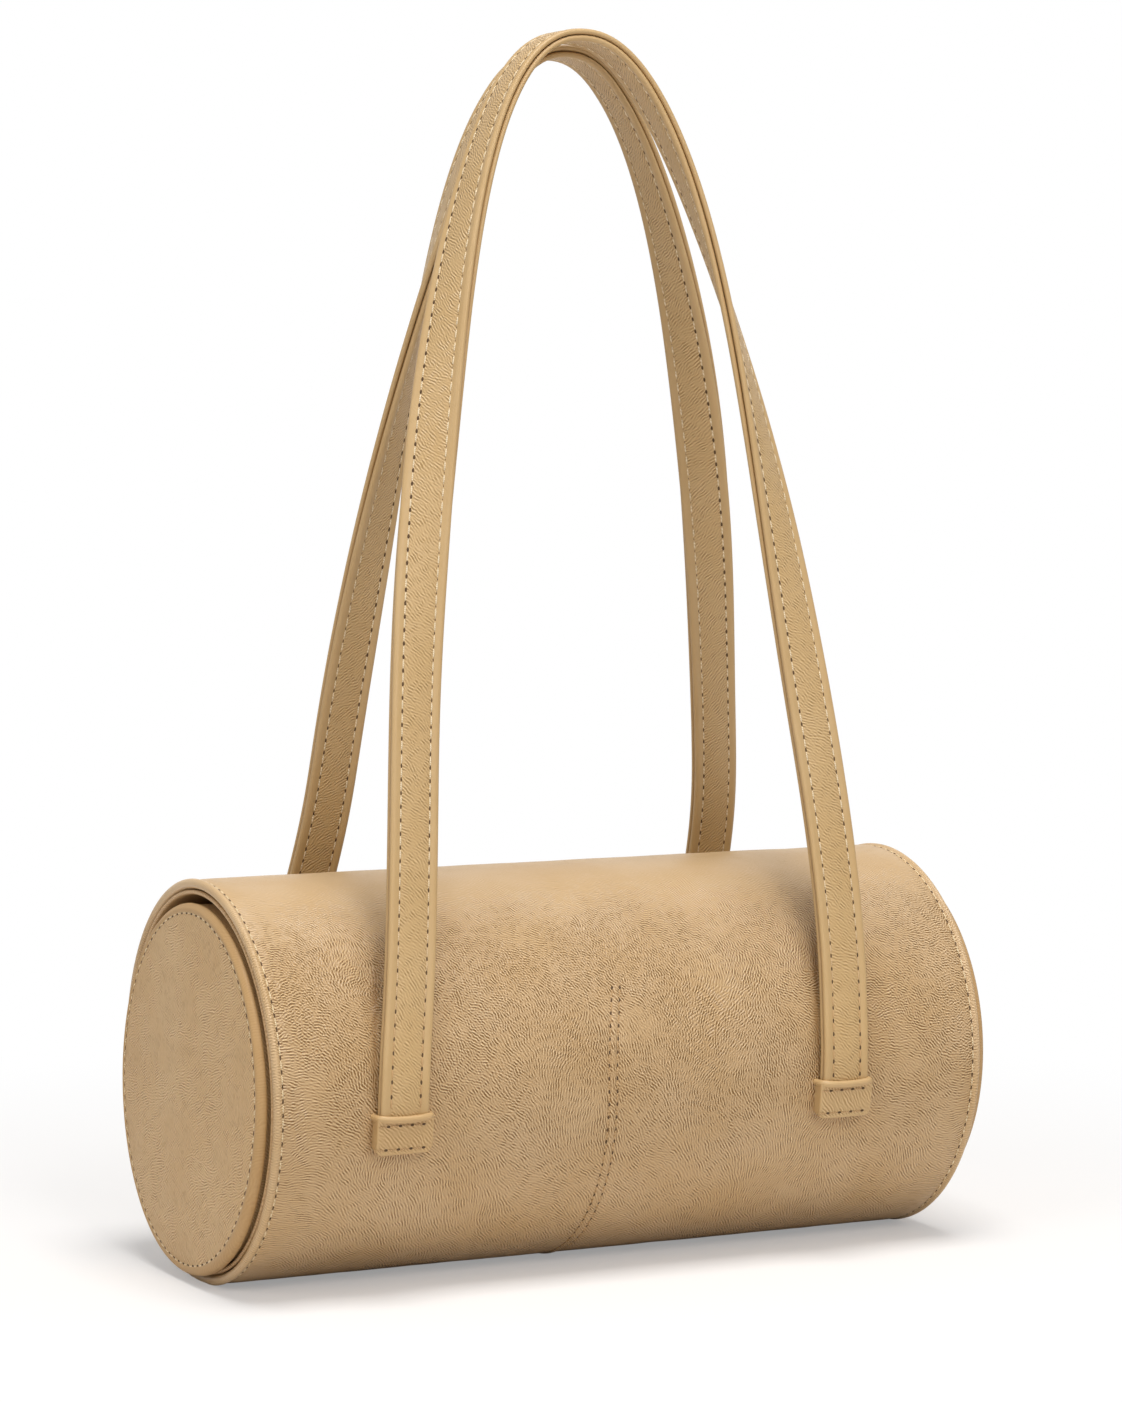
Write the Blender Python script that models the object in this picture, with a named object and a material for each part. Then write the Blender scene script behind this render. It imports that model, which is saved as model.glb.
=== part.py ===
# Barrel-shaped leather bowling bag with two shoulder straps.
# Metres, +Z up. X runs along the barrel, the front faces -Y, and the floor is z = 0.
# The lid is the end at -X. The other end is sewn in.

import math

import bmesh
import bpy
from mathutils import Matrix, Vector

# Barrel, from the outside in
TUBE_RADIUS = 0.0725
TUBE_LENGTH = 0.2844
LEATHER = 0.0018
BOARD = 0.0012
LINING = 0.0006
FACING = 0.0008
FACING_DEPTH = 0.030
FLAT_DEPTH = 0.0005
CLEARANCE = 0.0003

# Rolled rim at each end of the barrel
RIM_WALL = 0.0009
RIM_HEM = 0.0052
RIM_ROUND = 0.0007
RIM_CORD_RADIUS = 0.00085
LIP_SETBACK = 0.0004

# Round end panels: the lid and the sewn-in end
PANEL_GAP = 0.0018
PANEL_EDGE = 0.0031
PANEL_DOME = 0.0015
PANEL_BORDER = 0.0034
PANEL_BOARD = 0.0012
PANEL_LINING = 0.0006
BAND_WALL = 0.0016
LID_BAND_TAPER = 0.0009
LID_BAND_DEPTH = 0.0160
END_BAND_DEPTH = 0.0130
END_STANDOFF = 0.0040

# Lid hinge: a leather leaf along the floor of the mouth, which bends just behind the lid's face
HINGE_STANDOFF = 0.0043
HINGE_LEAF = 0.0008
HINGE_LEAF_DEPTH = 0.0150
HINGE_HALF_ANGLE = 14.0
LID_DROP = 0.0009
LID_LEAN = 1.9
LID_FACE_STANDOFF = 0.0034

# Magnets that hold the lid shut
MAGNET_RADIUS = 0.0040
LID_MAGNET_THICKNESS = 0.0016
MOUTH_MAGNET_THICKNESS = 0.0010
MAGNET_SETBACK = 0.0112

# Straps, and the arch that each one makes. The slack lets a strap fold down past level.
STRAP_WIDTH = 0.0185
STRAP_THICKNESS = 0.0045
STRAP_ROUND = 0.0016
STRAP_CORE_WIDTH = 0.0140
STRAP_CORE_THICKNESS = 0.0016
ARCH_SPREAD = 0.0885
ARCH_RISE_POWER = 1.52
ARCH_SPREAD_POWER = 0.45
TWIST_START = 0.115
FOLD_HEIGHT = -0.0006
FOLD_SLACK = 0.0010
STRAP_STANDOFF = 0.0005

# Where each strap goes: the middle of its feet and of its crest along the barrel, its sideways bow,
# the crest's height over the barrel's axis and distance from its middle plane, and the lean with
# which the strap leaves the barrel
FRONT_FEET_X = -0.0045
FRONT_CREST_X = 0.0025
FRONT_BOW = 0.0010
FRONT_RISE = 0.3763
FRONT_CREST_Y = -0.0140
FRONT_LEAN = 10.0
BACK_FEET_X = 0.0080
BACK_CREST_X = 0.0040
BACK_BOW = 0.0050
BACK_RISE = 0.3720
BACK_CREST_Y = 0.0052
BACK_LEAN = 17.0
STRAPS = {
    "front": (-1, FRONT_FEET_X, FRONT_CREST_X, FRONT_BOW, FRONT_RISE, FRONT_CREST_Y, FRONT_LEAN),
    "back": (1, BACK_FEET_X, BACK_CREST_X, BACK_BOW, BACK_RISE, BACK_CREST_Y, BACK_LEAN),
}

# Keepers that hold the strap ends on the barrel
KEEPER_WIDTH = 0.0240
KEEPER_HEIGHT = 0.0150
KEEPER_TOP = -0.0045
KEEPER_WALL = 0.0014
KEEPER_CORNER = 0.0022
STRAP_END_LENGTH = 0.0140
BACKING_WIDTH = 0.0280
BACKING_HEIGHT = 0.0220
BACKING = 0.0010

# Band sewn inside along the belly seam
BELLY_X = -0.0080
BELLY_WIDTH = 0.0120
BELLY_BAND = 0.0010
BELLY_REACH = 32.0

# Facets
TUBE_STEPS = 48
STRAP_STEPS = 44
STRAP_CROWDING = 0.65
STEP_ANGLE = 360 / TUBE_STEPS

# Sizes worked out from the ones above
AXIS_HEIGHT = TUBE_RADIUS - FLAT_DEPTH
HALF_LENGTH = TUBE_LENGTH / 2
LEATHER_INSIDE = TUBE_RADIUS - LEATHER
BOARD_OUTSIDE = LEATHER_INSIDE - CLEARANCE
BOARD_INSIDE = BOARD_OUTSIDE - BOARD
LINING_OUTSIDE = BOARD_INSIDE - CLEARANCE
LINING_INSIDE = LINING_OUTSIDE - LINING
FACING_OUTSIDE = LINING_INSIDE - CLEARANCE
FACING_INSIDE = FACING_OUTSIDE - FACING
HEM_OUTSIDE = TUBE_RADIUS - RIM_WALL - 2 * CLEARANCE - 2 * RIM_CORD_RADIUS
HEM_INSIDE = FACING_OUTSIDE + CLEARANCE
LEAF_OUTSIDE = FACING_INSIDE - CLEARANCE
LEAF_INSIDE = LEAF_OUTSIDE - HINGE_LEAF
END_BAND_RADIUS = FACING_INSIDE - CLEARANCE
PANEL_RADIUS = FACING_INSIDE - PANEL_GAP
LID_BAND_RADIUS = LEAF_INSIDE - CLEARANCE - LID_DROP
HINGE_X = -HALF_LENGTH - HINGE_STANDOFF
HINGE_Z = AXIS_HEIGHT - (LEAF_OUTSIDE + LEAF_INSIDE) / 2
LID_CENTRE = AXIS_HEIGHT - LID_DROP - HINGE_Z
STRAP_RADIUS = TUBE_RADIUS + STRAP_STANDOFF + STRAP_THICKNESS / 2
FOLD_Z = AXIS_HEIGHT + FOLD_HEIGHT


def clear_scene():
    for obj in list(bpy.data.objects):
        bpy.data.objects.remove(obj, do_unlink=True)


def to_linear(hex_code):
    channels = [int(hex_code[i : i + 2], 16) / 255 for i in (1, 3, 5)]
    linear = [c / 12.92 if c <= 0.04045 else ((c + 0.055) / 1.055) ** 2.4 for c in channels]
    return (*linear, 1.0)


def material(name, hex_code, roughness, metallic=0.0):
    made = bpy.data.materials.new(name)
    made.use_nodes = True
    shader = made.node_tree.nodes["Principled BSDF"]
    shader.inputs["Base Color"].default_value = to_linear(hex_code)
    shader.inputs["Roughness"].default_value = roughness
    shader.inputs["Metallic"].default_value = metallic
    return made


def add_object(name, bm, finish, parent=None):
    """The mesh as a closed object with its faces outwards, under its parent if it has one."""
    bmesh.ops.remove_doubles(bm, verts=bm.verts, dist=1e-6)
    bmesh.ops.recalc_face_normals(bm, faces=bm.faces)
    mesh = bpy.data.meshes.new(name)
    bm.to_mesh(mesh)
    bm.free()
    mesh.materials.append(finish)
    mesh.shade_smooth()
    mesh.set_sharp_from_angle(angle=math.radians(35))
    obj = bpy.data.objects.new(name, mesh)
    bpy.context.collection.objects.link(obj)
    obj.parent = parent
    return obj


def joint_empty(name, place):
    empty = bpy.data.objects.new(name, None)
    empty.empty_display_size = 0.01
    empty.location = place
    bpy.context.collection.objects.link(empty)
    return empty


def around(x, radius, angle):
    """A point of the barrel: angle in degrees up from the front, so 90 is the top."""
    turn = math.radians(angle)
    return Vector((x, -radius * math.cos(turn), radius * math.sin(turn)))


def arc_points(centre, radius, start, end, steps):
    """Points of an arc in the (x, radius) plane, in degrees from +x."""
    points = []
    for i in range(steps + 1):
        turn = math.radians(start + (end - start) * i / steps)
        points.append((centre[0] + radius * math.cos(turn), centre[1] + radius * math.sin(turn)))
    return points


def turned(profile, closed=True, centre=(0, 0, 0)):
    """A profile of (x, radius) points turned all round the barrel's axis."""
    bm = bmesh.new()
    verts = [bm.verts.new(around(x, radius, 90)) for x, radius in profile]
    pairs = list(zip(verts, verts[1:]))
    if closed:
        pairs.append((verts[-1], verts[0]))
    edges = [bm.edges.new(pair) for pair in pairs]
    bmesh.ops.spin(
        bm, geom=verts + edges, cent=(0, 0, 0), axis=(1, 0, 0), angle=math.tau,
        steps=TUBE_STEPS, use_merge=True,
    )
    bmesh.ops.translate(bm, verts=bm.verts, vec=centre)
    return bm


def sector(profile, start, end, centre=(0, 0, 0)):
    """A profile of (x, radius) points turned part of the way round, from start to end degrees."""
    bm = bmesh.new()
    verts = [bm.verts.new(around(x, radius, start)) for x, radius in profile]
    face = bm.faces.new(verts)
    steps = max(2, math.ceil(abs(end - start) / STEP_ANGLE))
    bmesh.ops.spin(
        bm, geom=[face, *face.edges, *face.verts], cent=(0, 0, 0), axis=(-1, 0, 0),
        angle=math.radians(end - start), steps=steps,
    )
    bmesh.ops.translate(bm, verts=bm.verts, vec=centre)
    return bm


def box_profile(x0, x1, inside, outside):
    return [(x0, inside), (x1, inside), (x1, outside), (x0, outside)]


def reach_angle(length, radius):
    return math.degrees(length / radius)


def body_leather(finish):
    """The outer leather: one tube whose ends roll round a cord and turn in as hems.

    It lies flat along the strip that it rests on."""
    end, wall, pocket = HALF_LENGTH, TUBE_RADIUS - RIM_WALL, HALF_LENGTH - RIM_WALL
    hem_end = HALF_LENGTH - RIM_HEM
    half = arc_points((end - RIM_ROUND, TUBE_RADIUS - RIM_ROUND), RIM_ROUND, 90, 0, 2)
    half += arc_points((end - RIM_ROUND, HEM_INSIDE + RIM_ROUND), RIM_ROUND, 0, -90, 2)
    half += [(hem_end, HEM_INSIDE), (hem_end, HEM_OUTSIDE), (pocket, HEM_OUTSIDE)]
    half += [(pocket, wall), (hem_end, wall), (hem_end - LEATHER, LEATHER_INSIDE)]
    profile = half + [(-x, radius) for x, radius in reversed(half)]
    bm = turned(profile, centre=(0, 0, AXIS_HEIGHT))
    flat = bmesh.ops.bisect_plane(
        bm, geom=[*bm.verts, *bm.edges, *bm.faces], plane_co=(0, 0, 0), plane_no=(0, 0, -1),
        clear_outer=True,
    )
    outline = [part for part in flat["geom_cut"] if isinstance(part, bmesh.types.BMEdge)]
    bmesh.ops.holes_fill(bm, edges=outline)
    return add_object("body_leather", bm, finish)


def tube_layers(board_finish, lining_finish, facing_finish, cord_finish):
    """What lies inside the leather: board, lining, a facing at each mouth and the rim cords."""
    centre = (0, 0, AXIS_HEIGHT)
    end = HALF_LENGTH - RIM_HEM - CLEARANCE
    board = turned(box_profile(-end, end, BOARD_INSIDE, BOARD_OUTSIDE), centre=centre)
    board = add_object("body_board", board, board_finish)
    lining = turned(box_profile(-end, end, LINING_INSIDE, LINING_OUTSIDE), centre=centre)
    add_object("body_lining", lining, lining_finish)
    for name, side in (("mouth_facing", -1), ("end_facing", 1)):
        outer = side * (HALF_LENGTH - LIP_SETBACK)
        inner = side * (HALF_LENGTH - FACING_DEPTH)
        ring = box_profile(outer, inner, FACING_INSIDE, FACING_OUTSIDE)
        add_object(name, turned(ring, centre=centre), facing_finish)
    cord_radius = TUBE_RADIUS - RIM_WALL - CLEARANCE - RIM_CORD_RADIUS
    for name, side in (("mouth_rim_cord", -1), ("end_rim_cord", 1)):
        x = side * (HALF_LENGTH - RIM_WALL - CLEARANCE - RIM_CORD_RADIUS)
        ring = arc_points((x, cord_radius), RIM_CORD_RADIUS, 0, 300, 5)
        add_object(name, turned(ring, centre=centre), cord_finish)
    return board


def panel_face(outward, face_x, centre, name, finish, parent=None):
    """Domed leather disc with a rolled edge and a recess behind it for its board.

    face_x is the front of its edge, and outward the way that it looks along X."""
    def at(depth, radius):
        return face_x - outward * depth, radius

    flat_radius = PANEL_RADIUS - PANEL_BORDER
    dome = [at(-PANEL_DOME * (1 - (i / 3) ** 2), flat_radius * i / 3) for i in range(4)]
    roll = [
        at(0.18 * PANEL_EDGE, PANEL_RADIUS - 0.45 * PANEL_BORDER),
        at(0.42 * PANEL_EDGE, PANEL_RADIUS - 0.12 * PANEL_BORDER),
        at(0.65 * PANEL_EDGE, PANEL_RADIUS),
        at(PANEL_EDGE, PANEL_RADIUS - 0.15 * PANEL_BORDER),
    ]
    recess = PANEL_EDGE - PANEL_BOARD
    back = [at(PANEL_EDGE, flat_radius), at(recess, flat_radius), at(recess, 0)]
    bm = turned(dome + roll + back, closed=False, centre=centre)
    return add_object(name, bm, finish, parent)


def panel_inside(outward, face_x, centre, prefix, finishes, depth, outside, taper=0.0, parent=None,
                 pocket=0.0):
    """Board, side band and lining cup behind a panel's face."""
    board_finish, band_finish, lining_finish = finishes
    back = face_x - outward * PANEL_EDGE

    def at(inward, radius):
        return back - outward * inward, radius

    board_radius = PANEL_RADIUS - PANEL_BORDER - CLEARANCE
    front = CLEARANCE - PANEL_BOARD
    board = [at(front, 0), at(front, board_radius), at(0, board_radius), at(0, 0)]
    bm = turned(board, closed=False, centre=centre)
    add_object(prefix + "_board", bm, board_finish, parent)
    band = [
        at(CLEARANCE, outside), at(depth, outside - taper),
        at(depth, outside - taper - BAND_WALL), at(CLEARANCE, outside - BAND_WALL),
    ]
    add_object(prefix + "_band", turned(band, centre=centre), band_finish, parent)
    cup = outside - taper - BAND_WALL - CLEARANCE - pocket
    floor = CLEARANCE + PANEL_LINING
    lining = [
        at(CLEARANCE, 0), at(CLEARANCE, cup), at(depth - BAND_WALL, cup),
        at(depth - BAND_WALL, cup - PANEL_LINING), at(floor, cup - PANEL_LINING), at(floor, 0),
    ]
    bm = turned(lining, closed=False, centre=centre)
    add_object(prefix + "_lining", bm, lining_finish, parent)


def disc(name, radius, height, place, axis, finish, parent=None):
    """A flat round piece with its middle at place and its round face looking along axis."""
    bm = bmesh.new()
    turn = Vector((0, 0, 1)).rotation_difference(Vector(axis)).to_matrix().to_4x4()
    bmesh.ops.create_cone(
        bm, cap_ends=True, segments=20, radius1=radius, radius2=radius, depth=height,
        matrix=Matrix.Translation(place) @ turn,
    )
    return add_object(name, bm, finish, parent)


def cutter(name, bm):
    obj = add_object(name, bm, bpy.data.materials["cutter"])
    obj.hide_render = True
    obj.display_type = "WIRE"
    return obj


def cut(obj, tool):
    modifier = obj.modifiers.new("cut_" + tool.name, "BOOLEAN")
    modifier.operation = "DIFFERENCE"
    modifier.solver = "EXACT"
    modifier.object = tool


def lid(leather, lining, board, steel, tube_board):
    """The plug lid, built upright about its hinge, then leant back the way it rests."""
    hinge = joint_empty("lid_hinge_axis", (HINGE_X, 0, HINGE_Z))
    centre = (0, 0, LID_CENTRE)
    panel_face(-1, -LID_FACE_STANDOFF, centre, "lid_face", leather, hinge)
    pocket = LID_MAGNET_THICKNESS + CLEARANCE
    panel_inside(
        -1, -LID_FACE_STANDOFF, centre, "lid", (board, leather, lining), LID_BAND_DEPTH,
        LID_BAND_RADIUS, LID_BAND_TAPER, hinge, pocket,
    )
    magnet_room = LID_BAND_RADIUS - LID_BAND_TAPER - BAND_WALL - 2 * CLEARANCE
    magnet_x = MAGNET_SETBACK - LID_FACE_STANDOFF + PANEL_EDGE
    magnet_z = LID_CENTRE + magnet_room - LID_MAGNET_THICKNESS / 2
    disc(
        "lid_magnet", MAGNET_RADIUS, LID_MAGNET_THICKNESS - CLEARANCE / 2,
        (magnet_x, 0, magnet_z), (0, 0, 1), steel, hinge,
    )
    hinge.rotation_euler = (0, math.radians(LID_LEAN), 0)

    leaf = box_profile(
        HINGE_X + CLEARANCE, -HALF_LENGTH + HINGE_LEAF_DEPTH, LEAF_INSIDE, LEAF_OUTSIDE,
    )
    bm = sector(leaf, -90 - HINGE_HALF_ANGLE, -90 + HINGE_HALF_ANGLE, (0, 0, AXIS_HEIGHT))
    add_object("lid_hinge", bm, leather)

    lean = math.radians(LID_LEAN)
    mouth_x = HINGE_X + magnet_x * math.cos(lean) + magnet_z * math.sin(lean)
    mouth_z = AXIS_HEIGHT + (BOARD_OUTSIDE + BOARD_INSIDE) / 2
    disc(
        "mouth_magnet", MAGNET_RADIUS, MOUTH_MAGNET_THICKNESS, (mouth_x, 0, mouth_z), (0, 0, 1),
        steel,
    )
    bm = bmesh.new()
    bmesh.ops.create_cone(
        bm, cap_ends=True, segments=20, radius1=MAGNET_RADIUS + CLEARANCE,
        radius2=MAGNET_RADIUS + CLEARANCE, depth=4 * BOARD,
        matrix=Matrix.Translation((mouth_x, 0, mouth_z)),
    )
    cut(tube_board, cutter("magnet_seat_cutter", bm))


def sewn_end(leather, lining, board):
    """The end panel at +X, whose band is sewn to the facing inside the rim."""
    centre = (0, 0, AXIS_HEIGHT)
    face_x = HALF_LENGTH + END_STANDOFF
    panel_face(1, face_x, centre, "end_face", leather)
    panel_inside(
        1, face_x, centre, "end", (board, leather, lining), END_BAND_DEPTH, END_BAND_RADIUS,
    )


def strap_fall(height, side, crest, offset, lean):
    """Distance of a strap's middle line from the barrel's middle plane at this height.

    It hugs the barrel up to the lean angle, then leans in to the crest on a smooth curve."""
    leave = STRAP_RADIUS * math.sin(math.radians(lean))
    if height <= leave:
        return side * math.sqrt(STRAP_RADIUS**2 - height**2)
    start = STRAP_RADIUS * math.cos(math.radians(lean))
    span = crest - leave
    share = (height - leave) / span
    first = -math.tan(math.radians(lean)) * span
    last = 2 * (side * offset - start) - first
    last = 0.5 * (last + (side * offset - start))
    a, b = 2 * share**3 - 3 * share**2 + 1, share**3 - 2 * share**2 + share
    c, d = -2 * share**3 + 3 * share**2, share**3 - share**2
    return side * (a * start + b * first + c * side * offset + d * last)


def strap_line(side, foot_x, crest_x, bow, crest, offset, lean):
    """(point, direction) along a strap's arch from its left fold to its right fold.

    They are crowded where it bends, at the folds and at the crest. It leaves each fold upright."""
    fine = []
    count = 600
    for i in range(count + 1):
        turn = math.pi * i / count
        spread = math.copysign(abs(math.cos(turn)) ** (2 * ARCH_SPREAD_POWER), -math.cos(turn))
        share = math.sin(turn) ** (2 / ARCH_RISE_POWER)
        height = FOLD_HEIGHT + (crest - FOLD_HEIGHT) * share
        shift = foot_x + (crest_x - foot_x) * share + 4 * bow * share * (1 - share)
        y = strap_fall(height, side, crest, offset, lean)
        fine.append(Vector((shift + ARCH_SPREAD * spread, y, AXIS_HEIGHT + height)))
    lengths = [0.0]
    for a, b in zip(fine, fine[1:]):
        lengths.append(lengths[-1] + (b - a).length)
    points, j = [], 0
    for i in range(STRAP_STEPS + 1):
        share = i / STRAP_STEPS
        share -= STRAP_CROWDING * math.sin(4 * math.pi * share) / (4 * math.pi)
        target = lengths[-1] * share
        while j < count - 1 and lengths[j + 1] < target:
            j += 1
        share = (target - lengths[j]) / (lengths[j + 1] - lengths[j])
        points.append((fine[j].lerp(fine[j + 1], share), (fine[j + 1] - fine[j]).normalized()))
    points[0] = (fine[0], Vector((0, 0, 1)))
    points[-1] = (fine[-1], Vector((0, 0, -1)))
    return points


def strap_frames(points, side, crest):
    """(middle, along, across, out) at each point: the face turns from sideways to upwards."""
    frames = []
    for point, along in points:
        flat = Vector((0, side, 0))
        flat = (flat - along * flat.dot(along)).normalized()
        over = along.cross(Vector((0, 1, 0))).normalized()
        share = (point.z - AXIS_HEIGHT - TWIST_START) / (crest - TWIST_START)
        share = min(max(share, 0.0), 1.0)
        turn = math.radians(90 * share * share * (3 - 2 * share))
        out = (flat * math.cos(turn) + over * math.sin(turn)).normalized()
        frames.append((point, along, along.cross(out).normalized(), out))
    return frames


def strap_sections():
    """Face, core and backing in a strap's cross-section, as (across, out) points."""
    half, top, groove = STRAP_WIDTH / 2, STRAP_THICKNESS / 2, CLEARANCE / 2
    core_half, core_top = STRAP_CORE_WIDTH / 2, STRAP_CORE_THICKNESS / 2
    recess, floor = core_half + CLEARANCE, core_top + CLEARANCE
    shoulder = top - STRAP_ROUND
    face = [
        (-half, groove), (-half, shoulder), (-half + STRAP_ROUND, top),
        (half - STRAP_ROUND, top), (half, shoulder), (half, groove), (recess, groove),
        (recess, floor), (-recess, floor), (-recess, groove),
    ]
    core = [
        (-core_half, -core_top), (-core_half, core_top), (core_half, core_top),
        (core_half, -core_top),
    ]
    back = [(across, -out) for across, out in face]
    return {"face": face, "core": core, "backing": back}


def swept(section, frames, origin):
    """A section carried along the frames. Both ends are round knuckles about the fold's axis.

    Each twisted patch is split along the diagonal that rises across the strap, in every layer,
    so that the layers stay apart."""
    bm = bmesh.new()
    loops = []
    last = len(frames) - 1
    for i, (middle, along, across, out) in enumerate(frames):
        loop = []
        for w, n in section:
            point = middle + across * w + out * n - origin
            knuckle = math.sqrt(max((STRAP_THICKNESS / 2) ** 2 - n * n, 0.0))
            if i == 0:
                point -= along * knuckle
            if i == last:
                point += along * knuckle
            loop.append(bm.verts.new(point))
        loops.append(loop)
    for a, b in zip(loops, loops[1:]):
        for i in range(len(a)):
            j = (i + 1) % len(a)
            rising = section[i][0] <= section[j][0]
            low, high = (i, j) if rising else (j, i)
            bm.faces.new((a[i], a[j], b[high]))
            bm.faces.new((b[j], b[i], a[low]))
    bm.faces.new(loops[0])
    bm.faces.new(list(reversed(loops[-1])))
    return bm


def strap(name, values, finishes):
    side, foot_x, crest_x, bow, crest, offset, lean = values
    axis = Vector((foot_x, side * STRAP_RADIUS, FOLD_Z))
    fold = joint_empty(name + "_fold_axis", axis)
    frames = strap_frames(strap_line(*values), side, crest)
    for layer, section in strap_sections().items():
        add_object(f"{name}_strap_{layer}", swept(section, frames, axis), finishes[layer], fold)


def strap_foot(name, x, side, leather, patch_leather):
    """The sewn-down end of a strap, the keeper over it and the patch that backs it inside."""
    centre = (x, 0, AXIS_HEIGHT)
    inside = TUBE_RADIUS + CLEARANCE
    outside = inside + STRAP_THICKNESS

    def span(top, height, radius):
        start, end = reach_angle(top - height, radius), reach_angle(top, radius)
        return (start, end) if side < 0 else (180 - end, 180 - start)

    end_top = FOLD_HEIGHT - STRAP_THICKNESS / 2 - FOLD_SLACK - CLEARANCE
    half = STRAP_WIDTH / 2
    strip = box_profile(-half, half, inside, outside)
    bm = sector(strip, *span(end_top, STRAP_END_LENGTH, STRAP_RADIUS), centre)
    add_object(name + "_strap_end", bm, leather)

    roof, half = outside + CLEARANCE + KEEPER_WALL, KEEPER_WIDTH / 2
    block = [
        (-half, inside), (half, inside), (half, roof - KEEPER_CORNER),
        (half - KEEPER_CORNER, roof), (-half + KEEPER_CORNER, roof), (-half, roof - KEEPER_CORNER),
    ]
    bm = sector(block, *span(KEEPER_TOP, KEEPER_HEIGHT, TUBE_RADIUS), centre)
    keeper = add_object(name + "_keeper", bm, leather)
    room = STRAP_WIDTH / 2 + CLEARANCE
    pocket = box_profile(-room, room, inside - KEEPER_WALL, outside + CLEARANCE)
    pocket_top = KEEPER_TOP + KEEPER_WALL
    pocket_height = end_top - STRAP_END_LENGTH - CLEARANCE
    bm = sector(pocket, *span(pocket_top, pocket_top - pocket_height, TUBE_RADIUS), centre)
    cut(keeper, cutter(name + "_keeper_cutter", bm))

    half, outer = BACKING_WIDTH / 2, LINING_INSIDE - CLEARANCE
    patch = box_profile(-half, half, outer - BACKING, outer)
    middle = KEEPER_TOP - KEEPER_HEIGHT / 2 + BACKING_HEIGHT / 2
    bm = sector(patch, *span(middle, BACKING_HEIGHT, outer), centre)
    add_object(name + "_backing_patch", bm, patch_leather)


def belly_band(leather):
    half, outer = BELLY_WIDTH / 2, LINING_INSIDE - CLEARANCE
    strip = box_profile(-half, half, outer - BELLY_BAND, outer)
    bm = sector(strip, -180 - BELLY_REACH, BELLY_REACH, (BELLY_X, 0, AXIS_HEIGHT))
    add_object("belly_band", bm, leather)


def main():
    clear_scene()
    body = material("grained_leather_body", "#CDAE82", 0.55)
    panel = material("grained_leather_panels", "#C4A67E", 0.58)
    hide = material("strap_leather", "#D2B488", 0.5)
    trim = material("smooth_leather_trim", "#D2B488", 0.5)
    lining = material("woven_lining", "#B79B74", 0.85)
    board = material("pressed_board", "#8A7A62", 0.9)
    filler = material("strap_filler", "#9C8A6E", 0.9)
    cord = material("rim_cord", "#D9D2C2", 0.8)
    steel = material("magnet_steel", "#8E9194", 0.35, 1.0)
    material("cutter", "#808080", 0.5)

    body_leather(body)
    tube_board = tube_layers(board, lining, trim, cord)
    belly_band(trim)
    lid(panel, lining, board, steel, tube_board)
    sewn_end(panel, lining, board)
    for name, values in STRAPS.items():
        strap(name, values, {"face": hide, "core": filler, "backing": hide})
        side, foot_x = values[0], values[1]
        for hand, way in (("left", -1), ("right", 1)):
            strap_foot(f"{name}_{hand}", foot_x + way * ARCH_SPREAD, side, hide, trim)


main()
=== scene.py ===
# %% [markdown]
# # A bowling bag in grained leather
# The bag is a barrel of leather with a round lid that plugs its left end, a sewn-in round panel at
# its right end, and two tall flat straps that twist as they rise to their crest. Its solids come
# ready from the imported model, in metres, with +X along the barrel and the front facing -Y. This
# lesson dresses them: each piece of leather is cut flat, wrapped, rolled and stitched, and each
# gets a finish made only from nodes. Nothing here is simulated: the leather is stiff, and its
# softness is a matter of a millimetre, which is easier to control by moving points. Pieces are
# worked out in millimetres, and MM turns those into metres.

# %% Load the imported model
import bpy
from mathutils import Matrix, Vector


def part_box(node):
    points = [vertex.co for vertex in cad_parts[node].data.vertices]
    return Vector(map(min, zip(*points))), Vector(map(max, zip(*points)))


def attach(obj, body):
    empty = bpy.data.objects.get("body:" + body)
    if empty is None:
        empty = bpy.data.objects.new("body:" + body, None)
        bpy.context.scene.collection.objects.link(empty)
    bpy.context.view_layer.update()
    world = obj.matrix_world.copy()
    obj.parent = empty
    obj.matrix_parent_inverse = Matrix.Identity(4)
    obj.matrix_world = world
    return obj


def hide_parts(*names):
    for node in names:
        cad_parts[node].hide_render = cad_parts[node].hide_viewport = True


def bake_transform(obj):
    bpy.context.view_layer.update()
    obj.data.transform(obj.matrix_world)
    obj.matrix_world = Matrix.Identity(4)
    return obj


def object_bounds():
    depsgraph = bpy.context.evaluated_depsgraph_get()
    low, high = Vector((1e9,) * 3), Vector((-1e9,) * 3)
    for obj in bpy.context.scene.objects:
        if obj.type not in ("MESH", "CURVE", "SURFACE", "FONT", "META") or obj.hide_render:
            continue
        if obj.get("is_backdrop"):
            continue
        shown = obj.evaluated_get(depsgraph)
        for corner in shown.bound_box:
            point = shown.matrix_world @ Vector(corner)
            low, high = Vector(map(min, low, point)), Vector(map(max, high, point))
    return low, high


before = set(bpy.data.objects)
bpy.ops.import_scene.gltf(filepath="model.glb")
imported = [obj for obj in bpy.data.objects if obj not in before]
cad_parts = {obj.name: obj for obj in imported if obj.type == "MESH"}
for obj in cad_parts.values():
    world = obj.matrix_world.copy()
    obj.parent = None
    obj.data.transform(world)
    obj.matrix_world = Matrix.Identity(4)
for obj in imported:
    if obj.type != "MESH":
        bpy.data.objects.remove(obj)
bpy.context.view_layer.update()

# %% Modules for the lesson
import math

import bmesh
import bpy
import numpy as np
from mathutils import Matrix, Vector, noise

MM = 0.001

# %% [markdown]
# ## Camera
# The bag was seen by a long lens from the front left, a little above it. A camera is placed from a
# point, a turn and a tilt. Its lens is given for a 36 mm wide sensor along the picture's long
# side, which Blender uses when the sensor fit is left on automatic.

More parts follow.
